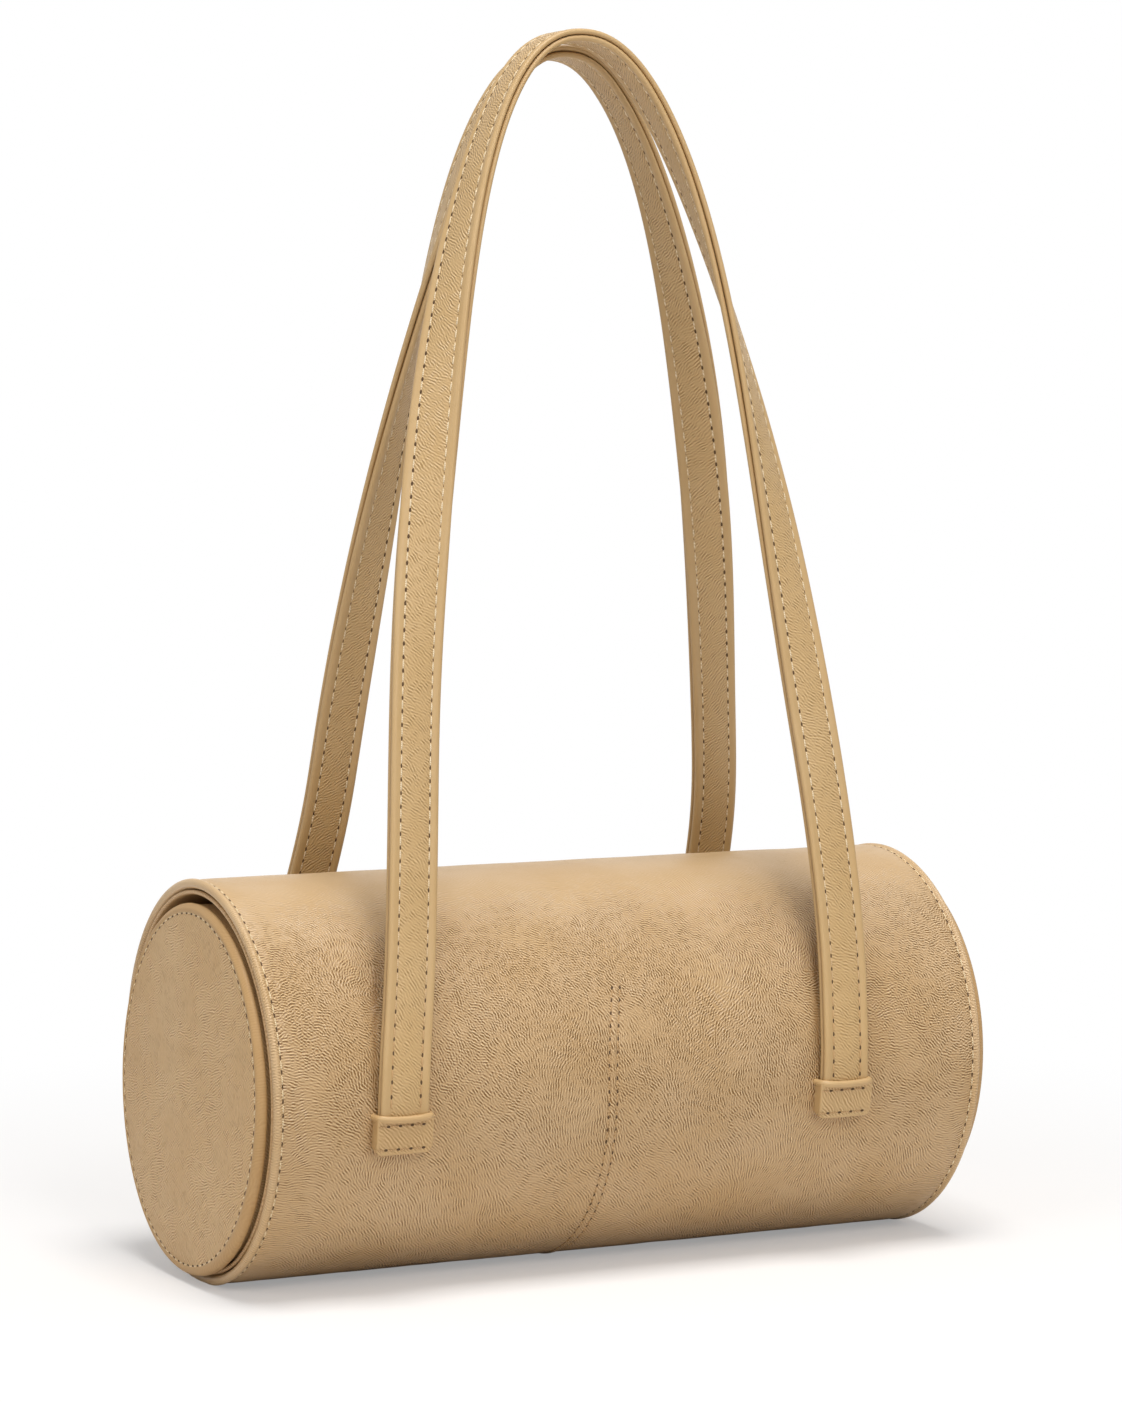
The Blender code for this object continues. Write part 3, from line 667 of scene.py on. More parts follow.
def sway(name, height, x=0.0):
    """How far to the right of its drawn line a strap hangs at a height over the axis.

    The front strap's feet slant a little outwards to the left. The back strap's left leg stands
    nearer to its right one than it would if it hung straight."""
    if name == "front":
        return 1.3 * bell(height - 80, 55) - 2.25 * bell(np.maximum(height, 0), 30)
    rising = ease(ramp(height, -6, 104))
    base = bell(height - 75, 50) * rising
    left = ramp(x, 29, -21)
    return left * (2.9 * rising + 2.0 * base) + (1 - left) * 3.2 * base

def foot_x(name, hand):
    """Where a strap's foot stands along the barrel."""
    return FOOT_X[name] + HANDS[hand] * FOOT_SPREAD

def legs(angle):
    """For each leg: its strap, its foot's x, the angle up from its own side, and its sway there."""
    for name, side in SIDES.items():
        up = angle if side < 0 else 180 - angle
        height = TUBE_RADIUS * np.sin(np.radians(up))
        for hand, way in HANDS.items():
            hung = sway(name, height, way * 90.0) - sway(name, 0.0)
            yield name, foot_x(name, hand), up, hung

# %% Small changes of radius
def softness(x, angle):
    """How far the leather stands out from the plain tube."""
    lift = np.zeros(np.broadcast(x, angle).shape)
    for _, foot, up, hung in legs(angle):
        from_edge = x - (foot - STRAP_HALF + hung)
        along_strap = ramp(up, -8, 2) * ramp(up, 50, 28)
        lift -= 0.6 * bell(from_edge + 0.4, 2.0) * along_strap
        lift -= 0.7 * bell(from_edge - 2.0, 4.2) * bell(up - 35, 8)
        lift -= 0.35 * bell(from_edge - 19.5, 2.0) * along_strap
        lift -= 0.4 * bell(x - foot, 13.0) * bell(up + 16.2, 4.0)
    return np.maximum(lift, -1.4) * ease(ramp(np.abs(x), 134.0, 124.0))

def seam_ridge(x, angle):
    """The raised ridge between the seam's two rows of holes."""
    off = x - seam_x(angle)
    angle = np.where(angle > 180 - SEAM_TOP, angle - 360, angle)
    ends = (ramp(angle, SEAM_TOP + 1, SEAM_TOP - 3)
            * ramp(angle, -181 - SEAM_TOP, -177 - SEAM_TOP))
    return ends * (0.42 * bell(off, 0.95) - 0.22 * bell(np.abs(off) - 1.7, 0.75))

# %% Painted shade by the straps, and marks on the hide
def strap_shade_marks(x, angle):
    """Painted shade where the straps and keepers meet the barrel, from 0 to 1.

    A dark line runs along each strap's left edge and a fainter one along its right, the hollow
    beside it is shaded, and so are each keeper's bottom edge and left wall. Higher up a strap
    stands off the barrel, and its shade runs inwards behind it."""
    marks = np.zeros(np.broadcast(x, angle).shape)
    for _, foot, up, hung in legs(angle):
        height, depth = (TUBE_RADIUS * f(np.radians(up)) for f in (np.sin, np.cos))
        gap = np.maximum(71.8 - 0.176 * (height - 13) - np.abs(depth), 0)
        along_strap = ramp(up, -7, 1) * ramp(up, 44, 30)
        edge = x - (foot - STRAP_HALF) - hung - 0.5 * gap
        marks += 0.75 * bell(edge + 0.3, 1.1) * along_strap
        marks += 0.30 * bell(edge, 3.6) * bell(up - 33, 9)
        marks += 0.25 * bell(x - foot - STRAP_HALF - hung, 1.1) * along_strap
        marks += 0.45 * bell(np.maximum(np.abs(x - foot) - 9, 0), 3) * bell(up + 14.4, 1.0)
        marks += 0.40 * bell(x - foot + 10.9, 0.9) * ramp(up, -13.8, -11.8) * ramp(up, -5, -7)
    return np.clip(marks, 0, 0.85)

def creases(x, angle):
    """Where the hide is creased round the hollow beside each strap, from 0 to 1."""
    beside = [bell(foot - 12.0 - x, 9) * bell(up - 29, 10) for _, foot, up, _ in legs(angle)]
    return np.clip(0.95 * sum(beside), 0, 1)

MM_PER_DEGREE = 1.27

def lay_of_ridges(x, angle):
    """The angle at which the grain's ridges run on the flat cut, in radians from the barrel's line.

    They run down to the right, turn steeper towards the middle, lie square to the rims' stitches,
    circle the hollow beside each strap and fan out under each keeper."""
    x, angle = np.broadcast_arrays(x, angle)
    up = np.where(angle > 90, 180 - angle, angle)
    lay = np.full(x.shape, 140.0)
    for centre, height, width, target in ((-28, 2, 20, 70), (34, 14, 24, 42), (60, -38, 24, 80),
                                          (-75, -45, 22, 95)):
        lay += bell(x - centre, width) * bell(up - height, width) * (target - lay)
    for name, foot, _, _ in legs(angle):
        here = (angle > 90) == (name == "back")
        left, high = foot - 8.0 - x, (up - 30) * MM_PER_DEGREE
        share = here * bell(left - 4, 9) * bell(high, 17)
        lay += share * (90 - np.degrees(np.arctan2(high, np.maximum(left, 2.0))) - lay)
        right, low = x - foot, (up + 9.5) * MM_PER_DEGREE
        share = here * bell(right, 14) * bell(low + 12, 6)
        lay += share * (90 + np.degrees(np.arctan2(right, np.maximum(-low, 3.0))) - lay)
    lay += ease(ramp(np.abs(x), 121, 135)) * (178 - lay)
    return np.radians(lay)

# %% Wrap the barrel
def barrel_places(angle):
    """Every point of the barrel's sheet, with its slack, dips and ridge, and a flat rest."""
    x, radius = outline[:, :1], outline[:, 1:]
    step, rim = np.arange(len(outline)), len(RIM_OUTLINE) - ROUND_THE_POCKET
    outer = (step >= rim) & (step < len(outline) - INNER_STEPS - rim)
    slack = np.zeros((len(outline), BARREL_ROWS + 1))
    for i in np.flatnonzero(outer):
        for j in range(BARREL_ROWS):
            turn = math.radians(angle[0, j])
            spot = Vector((outline[i, 0], 72 * math.cos(turn), 72 * math.sin(turn)))
            slack[i, j] = 0.22 * noise.noise(spot / 26) + 0.10 * noise.noise(spot / 9)
    slack[:, -1] = slack[:, 0]
    slack *= ramp(np.abs(x), 136.0, 124.0)
    change = np.maximum(slack + softness(x, angle), -1.15) + seam_ridge(x, angle)
    places = round_axis(x, radius + change * outer[:, None], np.radians(angle))
    places[:, :, 2] = np.maximum(places[:, :, 2], 0.0)
    return places, outer[:, None]

angle = np.linspace(-90, 270, BARREL_ROWS + 1)[None, :]
places, outer = barrel_places(angle)
round_mm = np.linspace(0, math.tau * TUBE_RADIUS, BARREL_ROWS + 1)
# The barrel notes the grain's lay, its creases, and the painted shade beside the straps and keepers.
barrel = cut_and_wrap(
    "barrel_leather", places, along_mm, round_mm, rubbed=strap_shade_marks(outline[:, :1], angle) * outer,
    lay=lay_of_ridges(outline[:, :1], angle), creased=creases(outline[:, :1], angle))
clean_up(barrel, 60)
hand_over(barrel, "grained_leather_body", [body_finish], ["body_leather"])

# %% [markdown]
# ## Lips, lining and what is sewn inside
# Behind each bead a second, thinner roll shows: the leather facing that lines the mouth, folded
# over at its edge. Each is an outline turned round the axis, like clay on a wheel, which suits
# anything that is the same all the way round. The cotton lining is the same.

# %% Lips
LIP_OUTLINE = [
    (-30.0, 67.2), (-20.0, 67.2), (-10.0, 67.2), (-4.0, 67.2), (-1.6, 67.2), (-0.85, 67.3),
    (-0.35, 67.6), (-0.18, 68.05), (-0.3, 68.5), (-0.75, 68.85), (-1.4, 68.85), (-2.0, 68.5),
    (-2.6, 68.1), (-3.6, 68.0), (-10.0, 68.0), (-20.0, 68.0), (-30.0, 68.0),
]
for name, side in (("mouth", -1), ("end", 1)):
    ring = [(side * (HALF_LENGTH + past), radius) for past, radius in LIP_OUTLINE]
    lip = mapped(turned(name + "_lip", ring))
    hand_over(lip, "smooth_leather_trim", [trim_finish], [name + "_facing"])

# %% Lining
along = np.linspace(-136.7, 136.7, 24)
ring = [(x, 68.3) for x in along] + [(x, 68.9) for x in along[::-1]]
lining = mapped(turned("barrel_lining", ring))
hand_over(lining, "woven_lining", [lining_finish], ["body_lining"])

# %% [markdown]
# The belly band and the four patches are strips of smooth leather on the inside, behind the seam
# and behind the strap ends. A strip is cut flat and laid on the curve, then a Solidify modifier
# gives it its thickness and a Bevel softens its cut edge.

# %% Strips inside
def strip_inside(name, x, width, start, end, corner, stands_for):
    """A strip of leather laid on the lining from one angle to another, with rounded corners."""
    outer = 68.0
    length = math.radians(end - start) * outer
    along = np.linspace(-width / 2, width / 2, 9)
    around = np.linspace(-length / 2, length / 2, max(9, int(length / 3)))
    a, b = np.meshgrid(along, around, indexing="ij")
    over_a, over_b = (np.clip((np.abs(v) - (size / 2 - corner)) / corner, 0, 1)
                      for v, size in ((a, width), (b, length)))
    reach = np.maximum(np.hypot(over_a, over_b), 1e-6)
    pull = np.where((over_a > 0) & (over_b > 0), np.maximum(over_a, over_b) / reach, 1.0)
    a, b = (np.where(pull < 1, np.sign(v) * (size / 2 - corner + corner * over * pull), v)
            for v, size, over in ((a, width, over_a), (b, length, over_b)))
    turn = math.radians((start + end) / 2) + b / outer
    piece = cut_and_wrap(name, round_axis(x + a, outer, turn), along, around)
    clean_up(piece)
    apply(piece, "SOLIDIFY", thickness=1.0 * MM, offset=1.0)
    apply(piece, "BEVEL", width=0.25 * MM, segments=2, limit_method="ANGLE")
    clean_up(piece, 50)
    hand_over(piece, "smooth_leather_trim", [trim_finish], [stands_for])

strip_inside("belly_seam_band", -8.0, 12.0, -212, 32, 2.0, "belly_band")
for name, side in SIDES.items():
    for hand in HANDS:
        low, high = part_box(f"{name}_{hand}_backing_patch")
        middle = math.degrees(math.asin(((low.z + high.z) / 2 / MM - AXIS_HEIGHT) / 67.5))
        start, end = middle - 9.2, middle + 9.2
        if side > 0:
            start, end = 180 - end, 180 - start
        strip_inside(f"{name}_{hand}_patch", (low.x + high.x) / 2 / MM, 28.0, start, end, 3.5,
                     f"{name}_{hand}_backing_patch")

# %% [markdown]
# ## Round panels
# The lid and the sewn-in end are made alike: a slightly domed leather face with a rolled edge and
# a stitch groove, a side band behind it, and a cotton lining cup. Again an outline is turned round
# the axis. The lid is built standing in its place, then leans in about its hinge by 1.9 degrees at
# its top, as the mouth lets it.

# %% Outline of a panel's face
# Depth behind the front of the edge and radius
PANEL_RIM = [
    (-0.02, 62.3), (0.10, 62.8), (0.16, 63.1), (0.08, 63.5), (-0.14, 64.1), (-0.12, 64.7),
    (0.20, 65.4), (0.80, 66.0), (1.70, 66.45), (2.80, 66.65), (4.00, 66.70), (5.10, 66.55),
    (5.80, 66.15), (6.05, 65.60), (5.70, 65.15),
]
PANEL_BACK = [(3.4, 65.1), (3.1, 64.6), (3.1, 62.0), (1.9, 62.0), (1.9, 0.0)]
PANEL_DOME, DOME_RADIUS = 1.5, 62.3

def panel_face(name, front_x, outward, centre):
    """A panel's leather face, which notes how far each point lies from its centre."""
    dome = [(-PANEL_DOME * (1 - (r / DOME_RADIUS) ** 2) ** 0.85 - 0.02, r)
            for r in np.linspace(0, DOME_RADIUS - 1, 22)]
    piece = turned(name, [(front_x - outward * depth, radius)
                          for depth, radius in dome + PANEL_RIM + PANEL_BACK], centre)
    note(piece, "from_centre_mm", [math.hypot(v.co.y, v.co.z - centre * MM) / MM
                                   for v in piece.data.vertices])
    return piece

# %% Lid face and end face
HINGE = Vector((-0.1465, 0, 0.0055))
LID_CENTRE, LID_FRONT, LID_HEIGHT = HINGE.z / MM + 65.6, HINGE.x / MM - 1.8, 131
END_FRONT = 148.0
# The leather has sagged a little, so the lid's face hangs 1.5 mm lower than the band behind it.
FACE_CENTRE = LID_CENTRE - 1.5
LEAN = (Matrix.Translation(HINGE) @ Matrix.Rotation(math.radians(1.9), 4, "Y")
        @ Matrix.Translation(-HINGE))
lid_face = panel_face("lid_leather", LID_FRONT, -1, FACE_CENTRE)
# Its rolled edge is shallow, and wraps less far round it at the top, where the lid leans in.
ROLL_DEPTH, ROLL_RADIUS = 0.9, 65.05
for vertex in lid_face.data.vertices:
    x, y, z = vertex.co / MM
    depth = x - LID_FRONT
    if depth > ROLL_DEPTH and math.hypot(y, z - FACE_CENTRE) > ROLL_RADIUS:
        height = (z - HINGE.z / MM) / LID_HEIGHT
        vertex.co.x -= (depth - ROLL_DEPTH) * (0.30 + 0.30 * height) * MM
lid_face.data.transform(LEAN)
hand_over(lid_face, "grained_leather_panels", [panel_finish], ["lid_face"], "lid")
end_face = panel_face("end_leather", END_FRONT, 1, AXIS_HEIGHT)
hand_over(end_face, "grained_leather_panels", [panel_finish], ["end_face"])

# %% Side bands and lining cups
def band_and_cup(prefix, back_x, outward, depth, radius, taper, cup_gap, centre, body):
    """The side band and the lining cup behind a panel's face, from outlines of depth and radius."""
    wall = 1.6
    narrow = radius - taper
    cup = narrow - wall - cup_gap
    band_outline = [(0.3, radius)] + [
        (d, radius - taper * d / depth + 0.12 * math.sin(d * 1.1))
        for d in np.linspace(1.2, depth - 0.6, 9)
    ] + [(depth, narrow - 0.5), (depth, narrow - wall + 0.5), (depth - 0.6, narrow - wall),
         (1.2, radius - wall), (0.3, radius - wall)]
    cup_outline = [(0.3, 0), (0.3, cup - 1.0), (0.7, cup), (depth - wall, cup),
                   (depth - wall, cup - 0.6), (1.6, cup - 0.6), (0.95, cup - 1.4), (0.9, 0)]
    for name, points, slot, finish, node in (
            ("side_band", band_outline, "grained_leather_panels", trim_finish, "band"),
            ("lining_cup", cup_outline, "woven_lining", lining_finish, "lining")):
        ring = [(back_x - outward * inward, r) for inward, r in points]
        piece = mapped(turned(f"{prefix}_{name}", ring, centre), centre)
        if body == "lid":
            piece.data.transform(LEAN)
        hand_over(piece, slot, [finish], [f"{prefix}_{node}"], body)

band_and_cup("lid", HINGE.x / MM - 0.3, -1, 16.0, 64.9, 0.9, 2.2, LID_CENTRE, "lid")
band_and_cup("end", 142.1, 1, 14.2, 66.9, 0.0, 0.3, AXIS_HEIGHT, "barrel")

# %% [markdown]
# The hinge is a leaf of leather along the floor of the mouth. It is sewn to the facing at one end
# and under the lid's edge at the other, and bends in between when the lid opens.

# %% Hinge leaf
around = np.linspace(-14.5, 14.5, 17)
along = np.linspace(-147.7, -127.2, 26)
a, b = np.meshgrid(along, np.radians(-90 + around), indexing="ij")
leaf_radius = 66.1 + 0.25 * ramp(a, -145.5, -147.7)
leaf = cut_and_wrap("hinge_leaf", round_axis(a, leaf_radius, b), along, around)
clean_up(leaf)
apply(leaf, "SOLIDIFY", thickness=0.8 * MM, offset=1.0)
clean_up(leaf, 50)
hand_over(leaf, "smooth_leather_trim", [trim_finish], ["lid_hinge"], "lid",
          ((-0.1455, 0, 0.0055), (-0.1475, 0, 0.0055)))

# %% [markdown]
# ## Straps
# Each strap is two long strips of leather sewn back to back over a filler, so that both edges show
# a groove between two rolls. It leaves the barrel lying flat on its side, hugs it, leans in, and
# turns its face upwards at the crest. A curve with a bevel profile could be swept along an arch,
# but its twist is hard to place. So the middle line is written as a function of height, a frame of
# three directions is carried along it, and the strip's cross-section is laid on each frame.

# %% Arch of a strap
STRAP_RADIUS = 75.25
RISE_POWER, SPREAD_POWER = 1.52, 0.45
TWIST_START, FOLD_HEIGHT, STRAP_START = 115.0, -0.6, -15.4
# feet x, crest x, bow, rise over the axis, crest y, lean in degrees
STRAPS = {
    "front": (-4.5, 2.5, 1.0, 376.3, -14.0, 10.0),
    "back": (8.0, 4.0, 5.0, 372.0, 5.2, 17.0),
}

def strap_fall(height, side, crest, offset, lean):
    """Distance of the strap's middle line from the bag's middle plane at a height over the axis."""
    lean = math.radians(lean)
    leave, start = STRAP_RADIUS * math.sin(lean), STRAP_RADIUS * math.cos(lean)
    span, end = crest - leave, side * offset
    share = np.clip((height - leave) / span, 0, 1)
    first = -math.tan(lean) * span
    last = 0.5 * (3 * (end - start) - first)
    curve = ((2 * share**3 - 3 * share**2 + 1) * start + (share**3 - 2 * share**2 + share) * first
             + (3 * share**2 - 2 * share**3) * end + (share**3 - share**2) * last)
    hug = np.sqrt(np.maximum(STRAP_RADIUS**2 - height**2, 0))
    return side * np.where(height <= leave, hug, curve)

def strap_middle(name):
    """The middle line, evenly stepped, from inside the left keeper to inside the right one."""
    feet_x, crest_x, bow, rise, crest_y, lean = STRAPS[name]
    turn = np.linspace(0, math.pi, 2401)
    cosine = np.cos(turn)
    spread = -np.sign(cosine) * np.abs(cosine) ** (2 * SPREAD_POWER)
    share = np.clip(np.sin(turn), 0, 1) ** (2 / RISE_POWER)
    height = FOLD_HEIGHT + (rise - FOLD_HEIGHT) * share
    x = feet_x + (crest_x - feet_x) * share + 4 * bow * share * (1 - share) + FOOT_SPREAD * spread
    down = np.linspace(STRAP_START, FOLD_HEIGHT, 40)[:-1]
    height = np.concatenate([down, height, down[::-1]])
    x = np.concatenate([np.full(39, x[0]), x, np.full(39, x[-1])])
    x = x + sway(name, height, x)
    y = strap_fall(height, SIDES[name], rise, crest_y, lean)
    fine = np.stack([x, y, AXIS_HEIGHT + height], 1)
    length = so_far(fine)
    even = np.linspace(0, length[-1], 321)
    return part_way(even, length, fine), even

def unit(vectors):
    """The same directions, each one long."""
    return vectors / np.linalg.norm(vectors, axis=-1, keepdims=True)

def strap_frame(name):
    """Middle, along, across and out at each step, and the length so far."""
    side, rise = SIDES[name], STRAPS[name][3]
    middle, length = strap_middle(name)
    along = unit(np.gradient(middle, axis=0))
    flat = unit(np.array([0.0, side, 0.0]) - along * along[:, 1:2] * side)
    over = unit(np.cross(along, [0.0, 1.0, 0.0]))
    share = ease(ramp(middle[:, 2:3] - AXIS_HEIGHT, TWIST_START, rise))
    turn = np.radians(90 * share)
    out = unit(flat * np.cos(turn) + over * np.sin(turn))
    return middle, along, unit(np.cross(along, out)), out, length

frames = {name: strap_frame(name) for name in STRAPS}
print("strap lengths, mm:", {name: round(float(f[4][-1])) for name, f in frames.items()})

# %% Cross-section of a strap
# Across and out from the strap's middle: groove, rolled edge, stitch groove, belly
HALF_SECTION = [
    (8.10, 0.10), (8.80, 0.30), (9.18, 0.85), (9.18, 1.45), (8.82, 1.95), (8.30, 2.22),
    (7.65, 2.30), (6.90, 2.20), (6.20, 1.98), (5.60, 1.86), (5.05, 1.95), (4.30, 2.12),
    (3.20, 2.22), (1.60, 2.28),
]
UNDERSIDE = [(-7.3, 0.12), (-7.3, 1.1), (7.3, 1.1), (7.3, 0.12)]
leather_section = (HALF_SECTION + [(0.0, 2.3)] + [(-w, n) for w, n in reversed(HALF_SECTION)]
                   + UNDERSIDE)
filler_section = [(7.1, -0.7), (7.1, 0.7), (6.8, 1.0), (0.0, 1.0), (-6.8, 1.0), (-7.1, 0.7),
                  (-7.1, -0.7), (-6.8, -1.0), (0.0, -1.0), (6.8, -1.0)]

def strap_strip(name, layer, section, way=1, short=0):
    """One of a strap's three layers, wrapped round its section and carried along the arch."""
    middle, along, across, out, length = (p[short : len(p) - short] for p in frames[name])
    loop = np.array(section + section[:1])
    sideways, outwards = loop[None, :, :1], loop[None, :, 1:] * way
    places = middle[:, None] + across[:, None] * sideways + out[:, None] * outwards
    piece = cut_and_wrap(f"{name}_strap_{layer}", places, length, so_far(loop),
                         across_mm=loop[None, :, 0],
                         grooved=np.clip(1.2 - 1.4 * loop[None, :, 1], 0, 1) * 0.8)
    open_piece(piece)
    bpy.ops.mesh.select_all(action="SELECT")
    bpy.ops.mesh.remove_doubles(threshold=0.002 * MM)
    bpy.ops.mesh.fill_holes(sides=0)
    close_piece(piece, 50)
    return piece

def fold_of(name):
    """Two points just above a strap's keepers, given to its pieces as their fold."""
    y = SIDES[name] * STRAP_RADIUS * MM
    return (0, y, 0.0676), (0, y, 0.0766)

for name in STRAPS:
    ends = [f"{name}_left_strap_end", f"{name}_right_strap_end"]
    place = (f"{name}_handle", fold_of(name))
    face = strap_strip(name, "face_leather", leather_section)
    hand_over(face, "strap_leather", [strap_finish], [f"{name}_strap_face", *ends], *place)
    back = strap_strip(name, "backing_leather", leather_section, way=-1)
    hand_over(back, "strap_leather", [strap_finish], [f"{name}_strap_backing"], *place)
    filler = strap_strip(name, "filler", filler_section, short=2)
    hand_over(filler, "strap_filler", [filler_finish], [f"{name}_strap_core"], *place)

# %% [markdown]
# ## Keepers
# Each strap end is held under a keeper: a small pouch of leather, stitched to the barrel, whose
# open top is rolled into a bead that hangs a little in its middle. The pouch starts as a cube of
# its outer size. Its lower corners are bevelled, its face is made wider so that the walls tuck in,
# and its top is inset and pushed down to make the pocket. The bead is a round cord of leather
# along a path, which a curve with a bevel does best. Both are modelled flat, joined, and carried
# onto the barrel's curve.

# %% Model a pouch
KEEPER_WIDTH, KEEPER_DEPTH, KEEPER_TOP, KEEPER_BOTTOM = 20.8, 5.8, -4.3, -17.8
UPPER_ROW, LOWER_ROW = KEEPER_TOP - 3.3, KEEPER_BOTTOM + 2.2
POCKET_DEPTH = 9.0

def pouch_flat(name):
    """A keeper's pouch laid flat: x across, y out from the barrel, z up."""
    pick()
    bottom, top, front = KEEPER_BOTTOM, KEEPER_TOP - 1.0, KEEPER_DEPTH
    bpy.ops.mesh.primitive_cube_add(size=1)
    piece = new_piece(name)
    for vertex in piece.data.vertices:
        x, y, z = vertex.co
        vertex.co = (x * KEEPER_WIDTH, (y + 0.5) * front, bottom + (z + 0.5) * (top - bottom))
    open_piece(piece)
    choose(piece, "EDGE", lambda m: abs(m.x) > KEEPER_WIDTH / 2 - 0.1 and m.z < bottom + 0.1
           and 2 < m.y < 5)
    bpy.ops.mesh.bevel(offset=2.6, segments=4, affect="EDGES")
    choose(piece, "FACE", lambda m, n: n.y > 0.9)
    bpy.ops.transform.resize(value=(1.06, 1.0, 1.0), center_override=(0, 0, top))
    choose(piece, "EDGE", lambda m: m.y > front - 0.1 and m.z < top - 0.1)
    bpy.ops.mesh.bevel(offset=1.1, segments=3, affect="EDGES")
    choose(piece, "FACE", lambda m, n: n.y > 0.95 and m.y > front - 0.3)
    bpy.ops.mesh.inset(thickness=0.5, depth=-0.12)
    choose(piece, "FACE", lambda m, n: n.z > 0.95 and m.z > top - 0.05)
    bpy.ops.mesh.inset(thickness=1.3, depth=0.0)
    bpy.ops.mesh.extrude_region_move(TRANSFORM_OT_translate={"value": (0, 0, -POCKET_DEPTH)})
    bpy.ops.object.mode_set(mode="OBJECT")
    apply(piece, "BEVEL", width=0.3, segments=2, limit_method="ANGLE", angle_limit=math.radians(50))
    apply(piece, "SUBSURF", levels=2, render_levels=2)
    return piece

# %% Model a bead
# Half of the bead's path: across, out from the barrel, and above the pouch's top edge
BEAD_PATH = [(0.0, 6.30, -1.25), (4.0, 6.25, -1.15), (7.0, 6.00, -0.98), (8.8, 5.50, -0.85),
             (9.8, 4.60, -0.80), (10.1, 3.30, -0.85), (10.2, 1.50, -0.9), (10.2, -0.60, -1.0)]
BEAD_RADIUS = 1.2

def bead_flat():
    """The rolled top edge of a keeper, as a smooth closed cord, laid flat."""
    pick()
    path = [(-x, y, z) for x, y, z in reversed(BEAD_PATH[1:])] + BEAD_PATH
    bpy.ops.curve.primitive_nurbs_path_add()
    curve = bpy.context.object.data
    curve.splines.clear()
    spline = curve.splines.new("NURBS")
    spline.points.add(len(path) - 1)
    for point, (x, y, z) in zip(spline.points, path):
        point.co = (x, y, KEEPER_TOP + z, 1.0)
    spline.use_endpoint_u, spline.order_u, spline.resolution_u = True, 4, 5
    curve.bevel_depth, curve.bevel_resolution, curve.use_fill_caps = BEAD_RADIUS, 4, True
    bpy.ops.object.convert(target="MESH")
    return bpy.context.object

# %% Fit the keepers
def keeper(name, hand):
    """A keeper, carried onto the barrel under its strap's foot."""
    side, foot = SIDES[name], foot_x(name, hand)
    piece, bead = pouch_flat(f"{name}_{hand}_keeper_leather"), bead_flat()
    rolled = [max(ramp(abs(v.co.x), 9.4, 10.6), ramp(v.co.z - KEEPER_BOTTOM, 1.6, 0.6))
              for v in piece.data.vertices] + [1.0] * len(bead.data.vertices)
    pick(bead, piece)
    bpy.ops.object.join()
    note(piece, "rolled", rolled)
    for vertex in piece.data.vertices:
        x, out, up = vertex.co
        row = UPPER_ROW if up > KEEPER_TOP - 7 else LOWER_ROW
        on_face = out > 5 and rolled[vertex.index] < 1
        radius = TUBE_RADIUS - 0.25 + out - (0.28 * bell(up - row, 0.8) if on_face else 0.0)
        turn = up / TUBE_RADIUS
        vertex.co = Vector((foot + x, side * radius * math.cos(turn),
                            AXIS_HEIGHT + radius * math.sin(turn))) * MM
    clean_up(piece, 60)
    hand_over(piece, "strap_leather", [keeper_finish], [f"{name}_{hand}_keeper"])
    return piece

keepers = {(name, hand): keeper(name, hand) for name in STRAPS for hand in HANDS}

# %% [markdown]
# ## Stitching
# A stitch is a grain of thread that dips into a needle hole at each end, and the hole is a dark disc
# of painted shade. One is modelled, with few faces because there are well over a thousand, and
# copied along every row. Each place in a row has a point, the way along the row and the way out of
# the leather.

# %% One stitch
THREAD_WIDTH = 0.62

def one_stitch(pitch, slit, rise):
    """Points, faces and finish numbers of one stitch and the slit at its end, along x. The slit is a
    dark disc of painted shade.
    """
    pick()
    bpy.ops.mesh.primitive_uv_sphere_add(segments=6, ring_count=6, radius=0.5,
                                         rotation=(0, math.pi / 2, 0))
    bpy.ops.object.transform_apply(location=False, rotation=True, scale=False)
    thread = bpy.context.object
    length = pitch - 0.8 * slit[0]
    for vertex in thread.data.vertices:
        x, y, z = vertex.co
        vertex.co = (x * length, y * THREAD_WIDTH,
                     z * THREAD_WIDTH * 0.8 + rise - 1.3 * rise * (2 * x) ** 2)
    pick()
    bpy.ops.mesh.primitive_circle_add(vertices=8, radius=0.5, fill_type="TRIFAN")
    hole = bpy.context.object
    for vertex in hole.data.vertices:
        x, y, z = vertex.co
        reach = math.hypot(x, y) / 0.5
        vertex.co = (pitch / 2 + x * slit[0], y * slit[1], 0.14 - 0.16 * reach)
    points, faces, finish = [], [], []
    for number, piece in enumerate((thread, hole)):
        base = len(points)
        points += [tuple(v.co) for v in piece.data.vertices]
        faces += [tuple(base + i for i in face.vertices) for face in piece.data.polygons]
        finish += [number] * len(piece.data.polygons)
        bpy.data.objects.remove(piece, do_unlink=True)
    return np.array(points), faces, finish

# %% Press a row onto the leather
def press(row, piece, reach=2.5):
    """Moves each place of a row along its way out until it lies on the piece's surface."""
    points, along, out = row
    points, out = np.array(points, float), unit(out)
    for k, (point, way) in enumerate(zip(points, out)):
        start = Vector(point + way * reach) * MM
        hit, spot, _, _ = piece.ray_cast(start, Vector(-way), distance=2 * reach * MM)
        if hit:
            points[k] = np.array(spot) / MM
    return points, along, out

